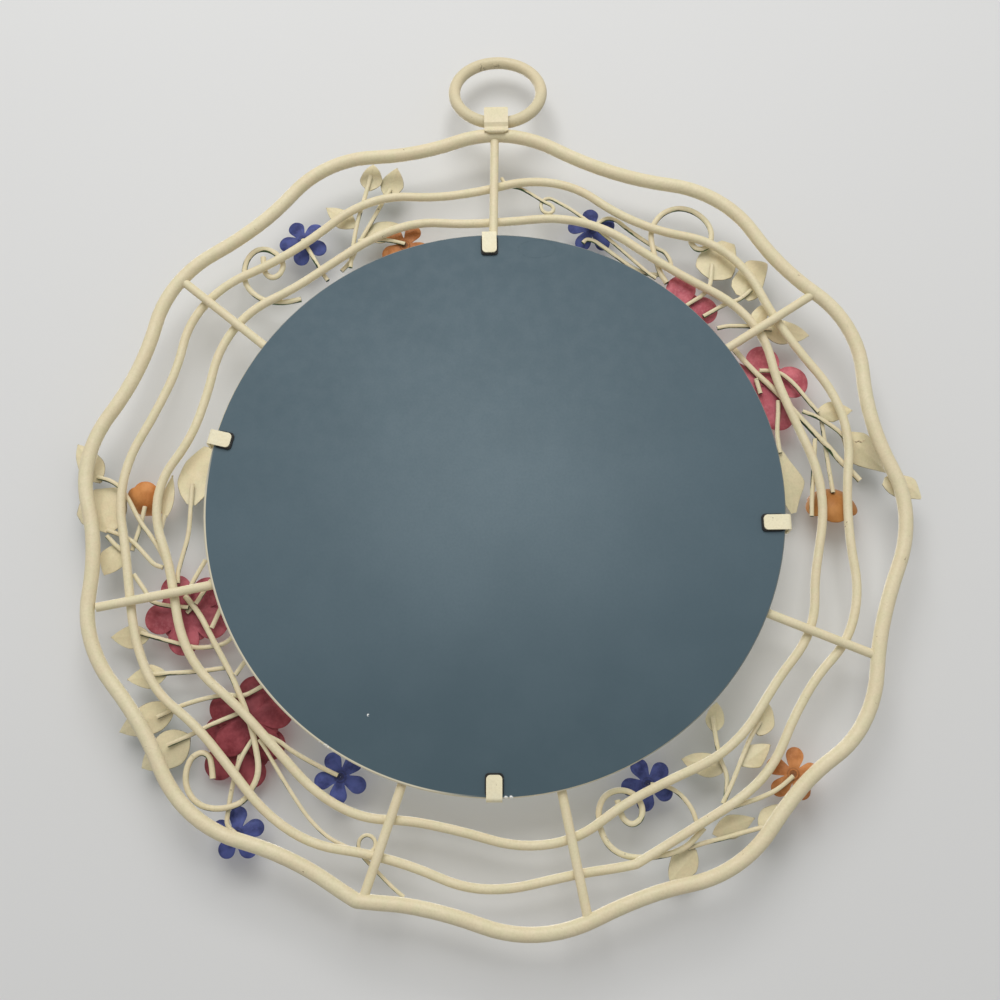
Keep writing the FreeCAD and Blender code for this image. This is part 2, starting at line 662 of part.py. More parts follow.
spokes = []
for number, (outer_angle, inner_angle) in enumerate(spoke_angles):
    start = ring_point(inner_angle, seat_radius, 0)
    end = ring_point(outer_angle, outer_hoop_radius, 0)
    rod = Part.makeCylinder(spoke_rod / 2, (end - start).Length, start, end - start)
    rod = rod.cut(seat_ring).cut(outer_hoop)
    spokes.append(max(rod.Solids, key=lambda piece: piece.Volume))
    export("spoke_" + str(number + 1), [spokes[-1]])

# Glass with a ground edge
glass = Part.makeCylinder(glass_radius, glass_thickness, V(0, glass_front, 0), V(0, 1, 0))
rims = [edge for edge in glass.Edges if edge.Closed and isinstance(edge.Curve, Part.Circle)]
glass = glass.makeChamfer(glass_bevel, rims)
export("mirror_glass", [glass])

# Clips over the back of the glass, each with its pad
clip_table = [
    ("top", clip_angle_top, clip_tab_reach_top, clip_play_top, 0),
    ("left", clip_angle_left, clip_tab_reach_left, clip_play_left, 0),
    ("bottom", clip_angle_bottom, clip_tab_reach_bottom, clip_play_bottom, 0),
    ("right", clip_angle_right, clip_tab_reach_right, clip_play_right, clip_twist_right),
]
for name, angle, reach, play, twist in clip_table:
    strip, pad = clip(angle, reach, play, twist)
    for spoke in spokes:
        if strip.BoundBox.intersect(spoke.BoundBox):
            strip = max(strip.cut(spoke).Solids, key=lambda piece: piece.Volume)
    export("clip_" + name, [strip])
    export("clip_pad_" + name, [pad])

# Strap folded over the bar of the hanging ring and welded to the crest of the outer hoop
crest_top = hanger.z + outer_rod / 2
inner_half = strap_gap / 2
outer_half = inner_half + strap_thickness
foot_inner = outer_rod / 2 - weld_bite
foot_outer = foot_inner + strap_thickness
top = crest_top + strap_height
bottom = crest_top - strap_lap
neck_low = crest_top - strap_neck / 2
neck_high = crest_top + strap_neck / 2


def at(depth, height):
    return V(hanger.x - strap_width / 2, depth, height)


strap_points = [
    at(-foot_outer, bottom), at(-foot_outer, neck_low), at(-outer_half, neck_high),
    at(-outer_half, top), at(outer_half, top), at(outer_half, neck_high), at(foot_outer, neck_low),
    at(foot_outer, bottom), at(foot_inner, bottom), at(foot_inner, neck_low),
    at(inner_half, neck_high), at(inner_half, top - strap_thickness),
    at(-inner_half, top - strap_thickness), at(-inner_half, neck_high), at(-foot_inner, neck_low),
    at(-foot_inner, bottom),
]
bend_out, bend_in = strap_bend_outer, strap_bend_inner
strap_radii = [0, 0, 0, bend_out, bend_out, 0, 0, 0, 0, 0, 0, bend_in, bend_in, 0, 0, 0]
strap = rounded_outline(strap_points, strap_radii).extrude(V(strap_width, 0, 0))
front_shape = rounded_outline(
    [V(hanger.x - strap_width / 2, -outer_half, bottom),
     V(hanger.x + strap_width / 2, -outer_half, bottom),
     V(hanger.x + strap_width / 2, -outer_half, top),
     V(hanger.x - strap_width / 2, -outer_half, top)],
    [0, 0, strap_corner, strap_corner],
).extrude(V(0, outer_half * 2, 0))
strap = strap.common(front_shape).cut(outer_hoop)
export("hanger_strap", [max(strap.Solids, key=lambda piece: piece.Volume)])

hanging_ring = Part.makeTorus(ring_radius, ring_rod / 2,
                              ring_axis + V(-ring_slide, 0, ring_radius), V(0, 1, 0))
hanging_ring.rotate(ring_axis, V(1, 0, 0), ring_rest_tip)
export("hanging_ring", [hanging_ring])

# Long rods of the sprays
export("scroll_a", [flat_rod(scroll_a_shares, main_depth, main_rod)])
export("scroll_b", [flat_rod(scroll_b_shares, main_depth, main_rod)])
export("main_stem_c", [flat_rod(main_stem_c_shares, main_depth, main_rod)])
export("main_stem_d", [flat_rod(main_stem_d_shares, main_depth, main_rod)])
export("scroll_e", [flat_rod(scroll_e_shares, main_depth, main_rod)])
export("tendril_b", [tendril(tendril_b_shares)])
export("tendril_d", [tendril(tendril_d_shares)])

# Thin stems and leaves
deep_depths = [over_main_depth - stem_rod + weld_bite, layer_depths["deep"], layer_depths["deep"]]
deep_points = [place(a, u, d) for (a, u), d in zip(deep_stem_shares, deep_depths)]
deep_stem = rod_along(deep_points, stem_rod)
stem_groups = [
    ("stems_a", layer_stems(stem_a_shares)),
    ("stems_b", layer_stems(stem_b_shares)),
    ("stems_c", layer_stems(stem_c_shares)),
    ("stems_d_upper", layer_stems(stem_d_upper_shares)),
    ("stems_d_lower", layer_stems(stem_d_lower_shares) + [deep_stem]),
    ("stems_e", layer_stems(stem_e_shares)),
]
for name, solids in stem_groups:
    export(name, solids)

leaf_groups = [
    ("leaves_a", leaf_a_shares),
    ("leaves_b", leaf_b_shares),
    ("leaves_c", leaf_c_shares),
    ("leaves_d_upper", leaf_d_upper_shares),
    ("leaves_d_lower", leaf_d_lower_shares),
    ("leaves_e", leaf_e_shares),
]
for name, table in leaf_groups:
    export(name, [leaf(*row) for row in table])

for row in blossom_shares:
    export(row[0], blossom(*row[1:]))
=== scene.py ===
import math
import random

import bmesh
import bpy
import numpy as np
from mathutils import Matrix, Vector, noise


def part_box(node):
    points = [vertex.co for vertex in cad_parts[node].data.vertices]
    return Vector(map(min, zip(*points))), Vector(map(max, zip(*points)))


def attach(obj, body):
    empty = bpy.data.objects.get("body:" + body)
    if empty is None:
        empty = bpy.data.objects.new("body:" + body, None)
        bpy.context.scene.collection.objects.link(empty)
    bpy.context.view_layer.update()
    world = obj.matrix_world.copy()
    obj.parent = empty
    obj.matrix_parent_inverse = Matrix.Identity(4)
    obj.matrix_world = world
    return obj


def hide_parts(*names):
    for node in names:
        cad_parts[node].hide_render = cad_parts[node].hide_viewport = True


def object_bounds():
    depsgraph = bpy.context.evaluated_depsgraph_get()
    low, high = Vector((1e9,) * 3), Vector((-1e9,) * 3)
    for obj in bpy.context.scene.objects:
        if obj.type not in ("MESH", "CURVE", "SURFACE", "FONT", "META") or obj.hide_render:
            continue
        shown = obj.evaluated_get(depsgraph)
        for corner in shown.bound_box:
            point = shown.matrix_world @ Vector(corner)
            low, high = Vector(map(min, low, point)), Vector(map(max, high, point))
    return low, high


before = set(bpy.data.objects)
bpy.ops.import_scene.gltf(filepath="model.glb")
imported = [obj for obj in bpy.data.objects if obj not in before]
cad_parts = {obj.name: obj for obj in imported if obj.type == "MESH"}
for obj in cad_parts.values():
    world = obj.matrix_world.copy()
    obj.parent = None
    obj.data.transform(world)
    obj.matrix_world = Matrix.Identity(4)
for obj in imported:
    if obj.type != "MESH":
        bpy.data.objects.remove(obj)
cad_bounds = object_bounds()

# Round wall mirror in a wire frame with flower sprays, seen from its wall side.
# Metres, +Z up, front towards -Y, zero on the hinge line of the hanging ring.

mm = 0.001

# Camera: looks from behind and a little from below, as in the photograph
camera_target = Vector((1.46 * mm, 0, -223.12 * mm))
camera_distance = 700 * mm
camera_tilt = 0.26189
camera_roll = -0.01697
camera_lens = 47.686
camera_sensor = 36.0
camera_near = 10 * mm
camera_far = 20

# Stage: a table top just in front of the flowers, and a wall just behind the clips
table_gap = 1.5 * mm
wall_gap = 1.0 * mm
stage_half = 3.5
table_shade = 0.72
wall_shade = 0.74
stage_tints = ((1.0, 1.0, 0.99), (0.98, 0.98, 0.965))
stage_grain = 5.0
stage_roughness = 0.9
stage_gloss = 0.1

# Lamps, and a white sky that is brighter above than below
key_place = Vector((0.12, 1.35, 0.72))
key_size = 1.1
key_power = 16.4
front_place = Vector((0.5, -1.6, 0.7))
front_size = 1.6
front_power = 16.0
sky_top = 0.58
sky_bottom = 0.40
sky_white = (1.0, 1.0, 1.0, 1.0)

# Points of one solid that lie this close together are one point, and so are those of a sheet
solid_joint = 0.001 * mm
sheet_joint = 0.002 * mm

# Steel sheet of the leaves and blossoms. Every sheet piece has one name, which Blender numbers
# in the order in which they are made, and its mesh has the name of its leaf or blossom
sheet_thickness = 0.7 * mm
sheet_piece = "Middle"

# UV maps of a sheet, and where each starts in the marks of a point: its share of the way round
# or along and out, and then its distance from the middle in millimetres
sheet_maps = (("UVMap", 0), ("Middle", 2))

# Blossoms: sizes in millimetres of a petal's place and radius, of the notches between petals and
# of the cup, and how far the notches are filled up
petal_count = 5
small_shape = {"distance": 9.4, "radius": 4.6, "notch": 4.4, "cup": 45.0}
bell_shape = {"distance": 7.4, "radius": 7.0, "notch": 11.9, "cup": 16.5, "webbed": 0.45}
bud_shape = {"distance": 5.6, "radius": 5.6, "notch": 9.5, "cup": 12.5, "webbed": 0.5}
large_shape = {"distance": 14.5, "radius": 8.4, "notch": 7.0, "cup": 120.0}
wide_shape = {"distance": 17.0, "radius": 9.4, "notch": 8.0, "cup": 120.0}
inner_shape = {"distance": 10.2, "radius": 5.8, "notch": 4.6, "cup": 70.0}
inner_ahead = 0.73 * mm

# Blossoms whose faces lean: how far down from the front, in degrees
leans = {"orange_blossom_c": 40.0, "orange_blossom_d": -45.0}

# Points of a petal: steps round its rim, closer at the notches, and rings, closer at the rim
petal_steps, petal_rings = 36, 18
notch_crowding, rim_crowding = 0.35, 0.85
hub_share = 0.01
rim_slack = 0.02 * mm

# Bends of a petal, as shares of its radius where no unit is given: how far it leans back from
# its root, a fold along it, its curled sides and rim, and a fine unevenness
bend_range, bend_root = (-0.10, 0.16), 0.6
fold_range, fold_height, fold_width = (-0.5, 0.5), 0.035, 0.3
curl_range, side_curl, curl_root = (0.4, 1.2), 0.17, 0.5
rim_curl, rim_start = 0.05, 0.82
stiff_bend = 0.3
petal_wobble, wobble_steps = 0.16 * mm, (0.06, 0.2, 7.3)

# Leaves: where they are widest, as a share of the length, and the radius of their cup
leaf_waist = 0.42
leaf_cup = 110 * mm
leaf_steps, leaf_lanes = 26, 14
leaf_least_width = 0.02 * mm

# A leaf is held by its stem at its highest points, unless those are at its base anyway
pole_slack = 0.004 * mm
held_least = 2 * mm

# Bends of a leaf: slope of its sides and where it sets in, droop towards the tip, twist, waves
# in millimetres, how far its outline goes from an oval to a kite, midrib, ripples and veins
crease_range, crease_rise = (0.10, 0.20), (0.0, 0.25)
lift_range = (-0.02, 0.05)
twist_range = (-0.10, 0.10)
wave_range, wave_turns = (0.15, 0.35), 7
phase_range = (0, 6.28)
kite_range = (0.1, 0.5)
midrib_height, midrib_width, midrib_rise = 0.15, 0.12, (0.05, 0.3)
ripple_share, ripple_turns = 0.03, 9
vein_depth, vein_count, vein_slant = 0.27 * mm, 9, 2.2

# Half widths of the leaves that aren't pointed ovals: share of the length, then share of the
# half width to the left and to the right, looking from base to tip with the back in view
leaf_outlines = {
    "leaves_b_1": [
        (0, 0.1, 0.1), (0.07, 0.55, 0.6), (0.22, 0.95, 0.98), (0.42, 1.0, 1.02),
        (0.62, 0.88, 0.96), (0.82, 0.55, 0.8), (0.96, 0.2, 0.66), (1, 0.1, 0.58)],
    "leaves_b_2": [
        (0, 0.5, 0.45), (0.1, 1.0, 0.72), (0.25, 1.2, 0.86), (0.5, 1.2, 0.7),
        (0.75, 1.12, 0.48), (0.86, 1.0, 0.38), (0.95, 0.5, 0.26), (1, 0.12, 0.17)],
    "leaves_c_2": [
        (0, 0.0, 0.05), (0.05, 0.25, 0.1), (0.13, 0.6, 0.22), (0.28, 1.04, 0.5),
        (0.38, 1.1, 0.62), (0.47, 1.02, 0.66), (0.6, 0.9, 0.52), (0.72, 0.78, 0.3),
        (0.86, 0.58, 0.02), (1, 0.3, -0.26)],
    "leaves_c_3": [
        (0, 0.4, 0.1), (0.1, 0.82, 0.32), (0.23, 1.02, 0.46), (0.4, 1.14, 0.54),
        (0.6, 1.2, 0.46), (0.72, 1.14, 0.32), (0.84, 0.75, 0.2), (0.93, 0.38, 0.12),
        (1, 0.1, 0.06)],
    "leaves_c_4": [
        (0, 0.02, 0.02), (0.27, 0.46, 0.45), (0.45, 0.78, 0.7), (0.56, 0.9, 0.76),
        (0.64, 0.82, 0.7), (0.8, 0.42, 0.5), (1, 0.04, 0.26)],
    "leaves_d_upper_2": [
        (0, 0.3, 0.1), (0.1, 1.0, 0.5), (0.25, 1.9, 0.85), (0.5, 2.3, 1.0),
        (0.75, 2.1, 0.95), (0.92, 1.6, 0.7), (1, 1.1, 0.4)],
    "leaves_d_upper_5": [
        (0, 0.36, 0.22), (0.13, 0.92, 0.55), (0.3, 1.34, 0.88), (0.4, 1.42, 0.92),
        (0.55, 1.36, 0.9), (0.7, 1.24, 0.72), (0.9, 0.68, 0.3), (1, 0.36, 0.1)],
}

# Weld metal along the strap's ends: its radius, and how far it stays inside the strap's sides
# and below its ends
strap_weld_radius = 1.45 * mm
strap_weld_margin = 0.7 * mm
strap_weld_drop = 0.1 * mm
strap_weld_runs = 4

# A scar of weld metal on the back of one leaf: across, up and drop forwards in millimetres
leaf_scar_points = [
    (-189.1, -192.3, 0.2), (-190.4, -193.2, 0.2), (-191.7, -192.5, 0.25),
    (-193.0, -193.3, 0.3), (-194.3, -192.5, 0.35), (-195.6, -192.1, 0.4)]
leaf_scar_radius = 0.42 * mm

# A run of weld metal: points round it, steps along each part of its path, blunt end, and its
# ripples and lumps as shares of its radius
seam_lanes, seam_steps = 14, 10
seam_tip = 0.02
seam_size, seam_ripple, ripple_turn = 0.92, 0.07, 1.9
seam_lump, lump_scale = 0.12, 900

# Chips in the lacquer of the glass, in millimetres: across, up and radius of each
glass_chips = [
    (91.0, -351.3, 2.0), (88.0, -353.6, 1.3), (94.5, -348.6, 1.0), (69.6, -335.3, 0.6),
    (1.0, -377.0, 0.9), (-1.5, -377.1, 1.1), (-13.3, -376.8, 0.8)]
glass_chip_blur = 0.35 * mm
glass_chip_grain = (0.8 * mm, 0.42, 0.5)

# A faint oval rub mark in the lacquer, twice as wide as high: across, up and half its width
scuff_across, scuff_up, scuff_half = -21.3 * mm, -81.5 * mm, 10.5 * mm
scuff_squash = 2
scuff_line = (0.03, 0.11)
scuff_grain = (1.6 * mm, 0.42, 0.56, 0.0, 1.0, 4.0)
scuff_share = 0.35

# Lacquer: a painted reflection in its middle and painted shade over its lower part, as shares of
# the glass's radius
reflection_rise, reflection_radius, reflection_blur = 0.12, 0.5, 0.45
lower_shade_start, lower_shade_share = 0.15, 0.75

# Clouds in the lacquer: pattern, as for a call of Graph.grain, and how strongly each shows
glass_broad, broad_share = (90 * mm, 0.3, 0.7, 0.0, 1.0, 2.0), 0.25
glass_cloud, cloud_share = (40 * mm, 0.3, 0.7, 0.0, 1.0, 5.0, 0.6), 0.12
glass_fine, fine_share = (1.4 * mm, 0.3, 0.75), 0.12
glass_wave, wave_depth, wave_strength = (2.2 * mm, 3.0), 0.02 * mm, 0.2
glass_gloss = 0.15
mirror_roughness = 0.02

# Rim of the glass: where its ground edge and its front start, by the way they face, where the
# light falls on the edge, and a bare line at the lower left, inwards from the edge
ground_levels = (0.86, 0.97)
front_levels = (-0.9, -0.99)
lit_levels, lit_least = (-0.1, 0.6), 0.2
bare_from, bare_to = 1.3 * mm, 1.0 * mm
bare_across, bare_down, bare_levels = 0.8, -0.6, (0.62, 0.8)

# Worn places on the ring, in millimetres: across, depth, up and radius of each
ring_marks = [(8.0, -12.8, 44.4, 2.4), (-0.5, -12.8, 44.6, 2.6)]
ring_mark_blur = 1.4 * mm
ring_mark_grain = (1.3 * mm, 0.48, 0.58, 0.0, 1.0, 5.0, 0.7)
ring_mark_share = 0.6

# Mottling of cream enamel, from broad to fine: pattern and how strongly it shows
enamel_layers = [
    ((26 * mm, 0.35, 0.65, 0.0, 1.0, 2.0), 0.55),
    ((5 * mm, 0.38, 0.66, 0.0, 1.0, 4.0), 0.5),
    ((1.1 * mm, 0.35, 0.75), 0.16)]

# Unevenness of enamel, broad and then fine: size, detail, depth and strength
enamel_bumps = [(9 * mm, 3.0, 0.9 * mm, 0.35), (1.6 * mm, 2.0, 0.25 * mm, 0.45)]
enamel_gloss = 0.3

# Chipped places: size, and the levels between which a chip goes through. Each is broken up by
# a broader pattern
chip_levels = {
    "cream": (1.3 * mm, 0.655, 0.685),
    "ring": (1.3 * mm, 0.66, 0.69),
    "stem": (1.1 * mm, 0.64, 0.67),
    "clip": (1.2 * mm, 0.63, 0.66)}
chip_spread, chip_broad_share = 6, 0.45
chip_details, chip_roughness = (2.0, 5.0), 0.7
chip_share, stem_chip_share = 0.8, 0.85

# Roughness of each finish: size and levels of its pattern, least and most roughness, and the
# pattern's detail where it isn't 3
even = (0.3, 0.7)
sheens = {
    "cream": (3 * mm, *even, 0.36, 0.52),
    "ring": (3 * mm, *even, 0.34, 0.5),
    "stem": (2.4 * mm, *even, 0.38, 0.58),
    "leaf": (3 * mm, *even, 0.42, 0.6),
    "clip": (3 * mm, *even, 0.34, 0.5),
    "rubber": (0.8 * mm, *even, 0.62, 0.82, 2.0),
    "weld": (0.8 * mm, *even, 0.45, 0.65, 2.0),
    "glass": (7 * mm, *even, 0.40, 0.52, 4.0)}
petal_sheen = (0.46, 0.62)

# Where the green of the front gives way to cream: the direction it faces, size and detail of
# its ragged edge, how ragged it is, how far round it goes, and the levels from cream to green
green_edges = {
    "stem": ((0.12, -1.0, -0.55), 12 * mm, 3.0, 3.2, 1.50, 0.0, 0.12),
    "leaf": ((0.0, -1.0, 0.0), 3 * mm, 4.0, 0.6, 0.3, 0.05, 0.3)}
green_tones = {
    "stem": (7 * mm, 0.35, 0.65),
    "leaf": (5 * mm, *even, 0.0, 1.0, 4.0)}

# Rim of a leaf, as shares of its half width: green that creeps round, and a bare cut line
leaf_rim, leaf_rim_grain, leaf_rim_share = (0.93, 0.985), (3.5 * mm, 0.42, 0.6), 0.5
leaf_cut = (0.955, 0.99, 0.0, 0.45)

# Petals: streaks along them, broad clouds, speckle, dark middle, dark rim and fine bumps
streak_pattern, streak_stretch, streak_share = (1.0, 3.0), (14, 2.2, 1), 0.35
petal_cloud = (7 * mm, 3.0)
petal_levels = (0.34, 0.66)
petal_speckle = (1.5 * mm, 0.45, 0.7)
petal_middle = (0.15, 0.6, 0.45, 0.0)
petal_rim, petal_rim_grain, petal_rim_share = (0.93, 1.0), (2.5 * mm, 0.4, 0.6), 0.5
petal_bump, petal_bump_depth, petal_bump_strength = (1.4 * mm, 3.0), 0.15 * mm, 0.3
streak_depth, streak_strength = 0.25 * mm, 0.25
petal_gloss = 0.25

# The weld in the middle of a small blossom, in millimetres from its middle: a recess darkened
# by painted shade, a raised collar and a groove round it, also darkened by painted shade
recess_levels, recess_shade_share = (1.6, 2.0), 0.5
collar_in, collar_out, collar_depth, collar_strength = (1.7, 2.2), (2.4, 3.0), 0.5 * mm, 0.8
groove_in, groove_out, groove_shade_share = (2.4, 2.9), (2.9, 3.8), 0.28

# Rubber of the pads, and weld metal
rubber_tone = (1.5 * mm, 0.35, 0.7, 0.0, 1.0, 4.0)
rubber_grain, rubber_depth, rubber_strength = (0.5 * mm, 2.0), 0.1 * mm, 0.5
plain_gloss = 0.5
weld_tone = (1.2 * mm, 0.35, 0.65, 0.0, 1.0, 4.0)


def srgb(red, green, blue):
    """A colour named in the 0 to 255 steps of a picture, as linear light."""
    def linear(step):
        share = step / 255
        return share / 12.92 if share <= 0.04045 else ((share + 0.055) / 1.055) ** 2.4
    return (linear(red), linear(green), linear(blue), 1.0)


cream = srgb(230, 218, 184)
cream_warm = srgb(224, 207, 172)
cream_cool = srgb(219, 213, 174)
cream_ring = srgb(212, 201, 167)
cream_leaf = srgb(230, 218, 182)
cream_leaf_warm = srgb(220, 203, 166)
clip_white = srgb(243, 234, 200)
clip_cool = srgb(232, 226, 198)
speckle_brown = srgb(178, 160, 122)
weld_brown = srgb(128, 104, 72)
# Dark paint under the enamel, where chips show it, and painted shade in the middle of small
# blossoms
under_paint_and_shade = srgb(38, 34, 28)
rust_paint = srgb(120, 84, 56)
ring_steel = srgb(84, 70, 52)
leaf_green = srgb(74, 104, 62)
leaf_green_dark = srgb(34, 52, 36)
glass_paint = srgb(84, 102, 111)
# Lighter and darker lacquer: painted reflection and painted shade, also used for its clouds
glass_light_and_reflection = srgb(104, 121, 129)
glass_dark_and_shade = srgb(70, 88, 96)
glass_edge = srgb(212, 204, 180)
silver = srgb(236, 240, 240)
rubber_black = srgb(16, 15, 15)
rubber_grey = srgb(34, 32, 30)
white_chip = srgb(250, 250, 246)

# Petal enamels: light, dark and speckle colour, how strongly the speckle shows, and 1 where a
# weld shows in the middle, with painted shade round it
petal_enamels = {
    "purple": (srgb(87, 99, 163), srgb(49, 57, 108), srgb(96, 96, 170), 0.25, 1.0),
    "orange": (srgb(206, 140, 85), srgb(172, 106, 56), srgb(222, 160, 112), 0.25, 1.0),
    "bell": (srgb(192, 134, 74), srgb(170, 112, 56), srgb(200, 142, 84), 0.15, 0.0),
    "bud": (srgb(216, 148, 88), srgb(190, 118, 60), srgb(224, 166, 108), 0.15, 0.0),
    "pink": (srgb(190, 100, 110), srgb(146, 62, 72), srgb(206, 134, 142), 0.2, 0.0),
    "rose": (srgb(212, 118, 128), srgb(172, 78, 90), srgb(222, 150, 156), 0.25, 0.0),
    # A darker copy of the pink enamel: painted shade for the blossoms that lie in the shade by the
    # glass
    "crimson": (srgb(164, 78, 86), srgb(122, 46, 54), srgb(178, 100, 108), 0.15, 0.0)}

# How the names of blossoms start, and the enamel and paint slot of each: the first that fits
blossom_kinds = [
    ("purple", "purple", "purple_paint"),
    ("orange_blossom_c", "bell", "orange_paint"),
    ("orange_blossom_d", "bud", "orange_paint"),
    ("orange", "orange", "orange_paint"),
    ("pink_blossom_d1", "pink", "pink_paint"),
    # Painted shade: these blossoms take the darker copy of the pink
    ("pink_blossom_d", "crimson", "pink_paint"),
    ("pink", "rose", "pink_paint")]


class Graph:
    """A material's nodes, with short calls for the few kinds used here."""

    def __init__(self, name):
        self.material = bpy.data.materials.new(name)
        self.material.use_nodes = True
        self.tree = self.material.node_tree
        self.shader = self.tree.nodes["Principled BSDF"]
        self.coords = self.add("ShaderNodeTexCoord")
        self.place = self.coords.outputs["Object"]
        self.normal = self.coords.outputs["Normal"]

    def add(self, kind, **settings):
        node = self.tree.nodes.new(kind)
        for key, value in settings.items():
            setattr(node, key, value)
        return node

    def put(self, value, socket):
        if hasattr(value, "is_output"):
            self.tree.links.new(value, socket)
        else:
            socket.default_value = value

    def noise(self, size, detail=3.0, source=None, stretch=(1, 1, 1), roughness=0.55):
        scaled = self.add("ShaderNodeVectorMath", operation="MULTIPLY")
        self.put(source or self.place, scaled.inputs[0])
        scaled.inputs[1].default_value = [share / size for share in stretch]
        node = self.add("ShaderNodeTexNoise")
        node.inputs["Scale"].default_value = 1.0
        node.inputs["Detail"].default_value = detail
        node.inputs["Roughness"].default_value = roughness
        self.put(scaled.outputs[0], node.inputs["Vector"])
        return node.outputs["Fac"]

    def band(self, value, low, high, start=0.0, end=1.0):
        """A value eased from start to end between two of its levels."""
        node = self.add("ShaderNodeMapRange", interpolation_type="SMOOTHSTEP")
        self.put(value, node.inputs["Value"])
        node.inputs["From Min"].default_value = low
        node.inputs["From Max"].default_value = high
        node.inputs["To Min"].default_value = start
        node.inputs["To Max"].default_value = end
        return node.outputs["Result"]

    def grain(self, size, low, high, start=0.0, end=1.0, detail=3.0, roughness=0.55):
        """A noise pattern of a size in metres, eased between two of its levels."""
        return self.band(self.noise(size, detail, roughness=roughness), low, high, start, end)

    def math(self, operation, first, second=0.0, third=0.0):
        node = self.add("ShaderNodeMath", operation=operation)
        for value, socket in zip((first, second, third), node.inputs):
            self.put(value, socket)
        return node.outputs[0]

    def mix(self, factor, first, second):
        node = self.add("ShaderNodeMix", data_type="RGBA")
        self.put(factor, node.inputs[0])
        self.put(first, node.inputs[6])
        self.put(second, node.inputs[7])
        return node.outputs[2]

    def cover(self, base, colour, mask, share):
        """A colour laid over a base where a mask is 1, at a share of its strength."""
        return self.mix(self.math("MULTIPLY", mask, share), base, colour)

    def part(self, vector, axis):
        node = self.add("ShaderNodeSeparateXYZ")
        self.put(vector, node.inputs[0])
        return node.outputs[axis]

    def along(self, vector, direction):
        """How far a vector reaches along a direction."""
        node = self.add("ShaderNodeVectorMath", operation="DOT_PRODUCT")
        self.put(vector, node.inputs[0])
        node.inputs[1].default_value = direction
        return node.outputs["Value"]

    def distance(self, centre):
        """How far the surface lies from a point."""
        node = self.add("ShaderNodeVectorMath", operation="DISTANCE")
        self.put(self.place, node.inputs[0])
        node.inputs[1].default_value = centre
        return node.outputs["Value"]

    def spot(self, centre, radius, blur):
        """1 inside a round spot about a point, 0 outside it."""
        return self.band(self.distance(centre), radius - blur, radius + blur, 1.0, 0.0)

    def bump(self, height, depth, strength, under=None):
        node = self.add("ShaderNodeBump")
        node.inputs["Strength"].default_value = strength
        node.inputs["Distance"].default_value = depth
        self.put(height, node.inputs["Height"])
        if under is not None:
            self.put(under, node.inputs["Normal"])
        return node.outputs["Normal"]

    def finish(self, colour, roughness, normal, gloss):
        self.shader.inputs["Specular IOR Level"].default_value = gloss
        self.put(colour, self.shader.inputs["Base Color"])
        self.put(roughness, self.shader.inputs["Roughness"])
        self.put(normal, self.shader.inputs["Normal"])
        return self.material


def brushed_cream(graph, light, warm, cool):
    """Cream enamel with faint pink and green mottling and a fine speckle."""
    base = light
    for colour, (pattern, share) in zip((warm, cool, speckle_brown), enamel_layers):
        base = graph.cover(base, colour, graph.grain(*pattern), share)
    return base


def enamel_bump(graph):
    """Brush drag, with orange peel on top of it."""
    normal = None
    for size, detail, depth, strength in enamel_bumps:
        normal = graph.bump(graph.noise(size, detail), depth, strength, normal)
    return normal


def enamel(graph, base, kind):
    """A coloured base finished as uneven, half glossy enamel."""
    return graph.finish(base, graph.grain(*sheens[kind]), enamel_bump(graph), enamel_gloss)


def chips(graph, kind):
    """A sparse mask of chipped places."""
    size, low, high = chip_levels[kind]
    broad = graph.noise(size * chip_spread, chip_details[0])
    fine = graph.noise(size, chip_details[1], roughness=chip_roughness)
    fine = graph.math("MULTIPLY", fine, 1 - chip_broad_share)
    return graph.band(graph.math("MULTIPLY_ADD", broad, chip_broad_share, fine), low, high)


def green_front(graph, base, kind):
    """Green over cream on the faces that look forwards, up to a ragged edge."""
    side, size, detail, ragged, reach, low, high = green_edges[kind]
    facing = graph.math("SUBTRACT", graph.along(graph.normal, side), reach)
    edge = graph.math("MULTIPLY_ADD", graph.noise(size, detail), ragged, facing)
    green = graph.mix(graph.grain(*green_tones[kind]), leaf_green_dark, leaf_green)
    return graph.mix(graph.band(edge, low, high), base, green)


def cream_paint():
    graph = Graph("cream_enamel")
    base = brushed_cream(graph, cream, cream_warm, cream_cool)
    return enamel(graph, graph.cover(base, rust_paint, chips(graph, "cream"), chip_share), "cream")


def clip_paint():
    graph = Graph("clip_enamel")
    base = brushed_cream(graph, clip_white, cream, clip_cool)
    return enamel(graph, graph.cover(base, rust_paint, chips(graph, "clip"), chip_share), "clip")


def ring_paint():
    """The ring's enamel is rubbed through to the steel where a nail carries it."""
    graph = Graph("ring_enamel")
    base = brushed_cream(graph, cream_ring, cream_warm, cream_ring)
    marks = [graph.spot(Vector((x * mm, y * mm, z * mm)), radius * mm, ring_mark_blur)
             for x, y, z, radius in ring_marks]
    worn = graph.math("MULTIPLY", graph.math("MAXIMUM", *marks), graph.grain(*ring_mark_grain))
    worn = graph.math("MAXIMUM", worn, chips(graph, "ring"))
    return enamel(graph, graph.cover(base, ring_steel, worn, ring_mark_share), "ring")


def stem_paint():
    """Thin rods are green in front, with cream blown over them from behind."""
    graph = Graph("stem_enamel")
    base = green_front(graph, brushed_cream(graph, cream, cream_warm, cream_cool), "stem")
    base = graph.cover(base, under_paint_and_shade, chips(graph, "stem"), stem_chip_share)
    return enamel(graph, base, "stem")


def leaf_paint():
    """Leaves are green in front and cream behind, with the green creeping round the rim."""
    graph = Graph("leaf_enamel")
    base = brushed_cream(graph, cream_leaf, cream_leaf_warm, cream_cool)
    share = graph.part(graph.coords.outputs["UV"], 1)
    rim = graph.math("MULTIPLY", graph.band(share, *leaf_rim), graph.grain(*leaf_rim_grain))
    base = graph.cover(base, leaf_green_dark, rim, leaf_rim_share)
    base = graph.mix(graph.band(share, *leaf_cut), base, weld_brown)
    return enamel(graph, green_front(graph, base, "leaf"), "leaf")


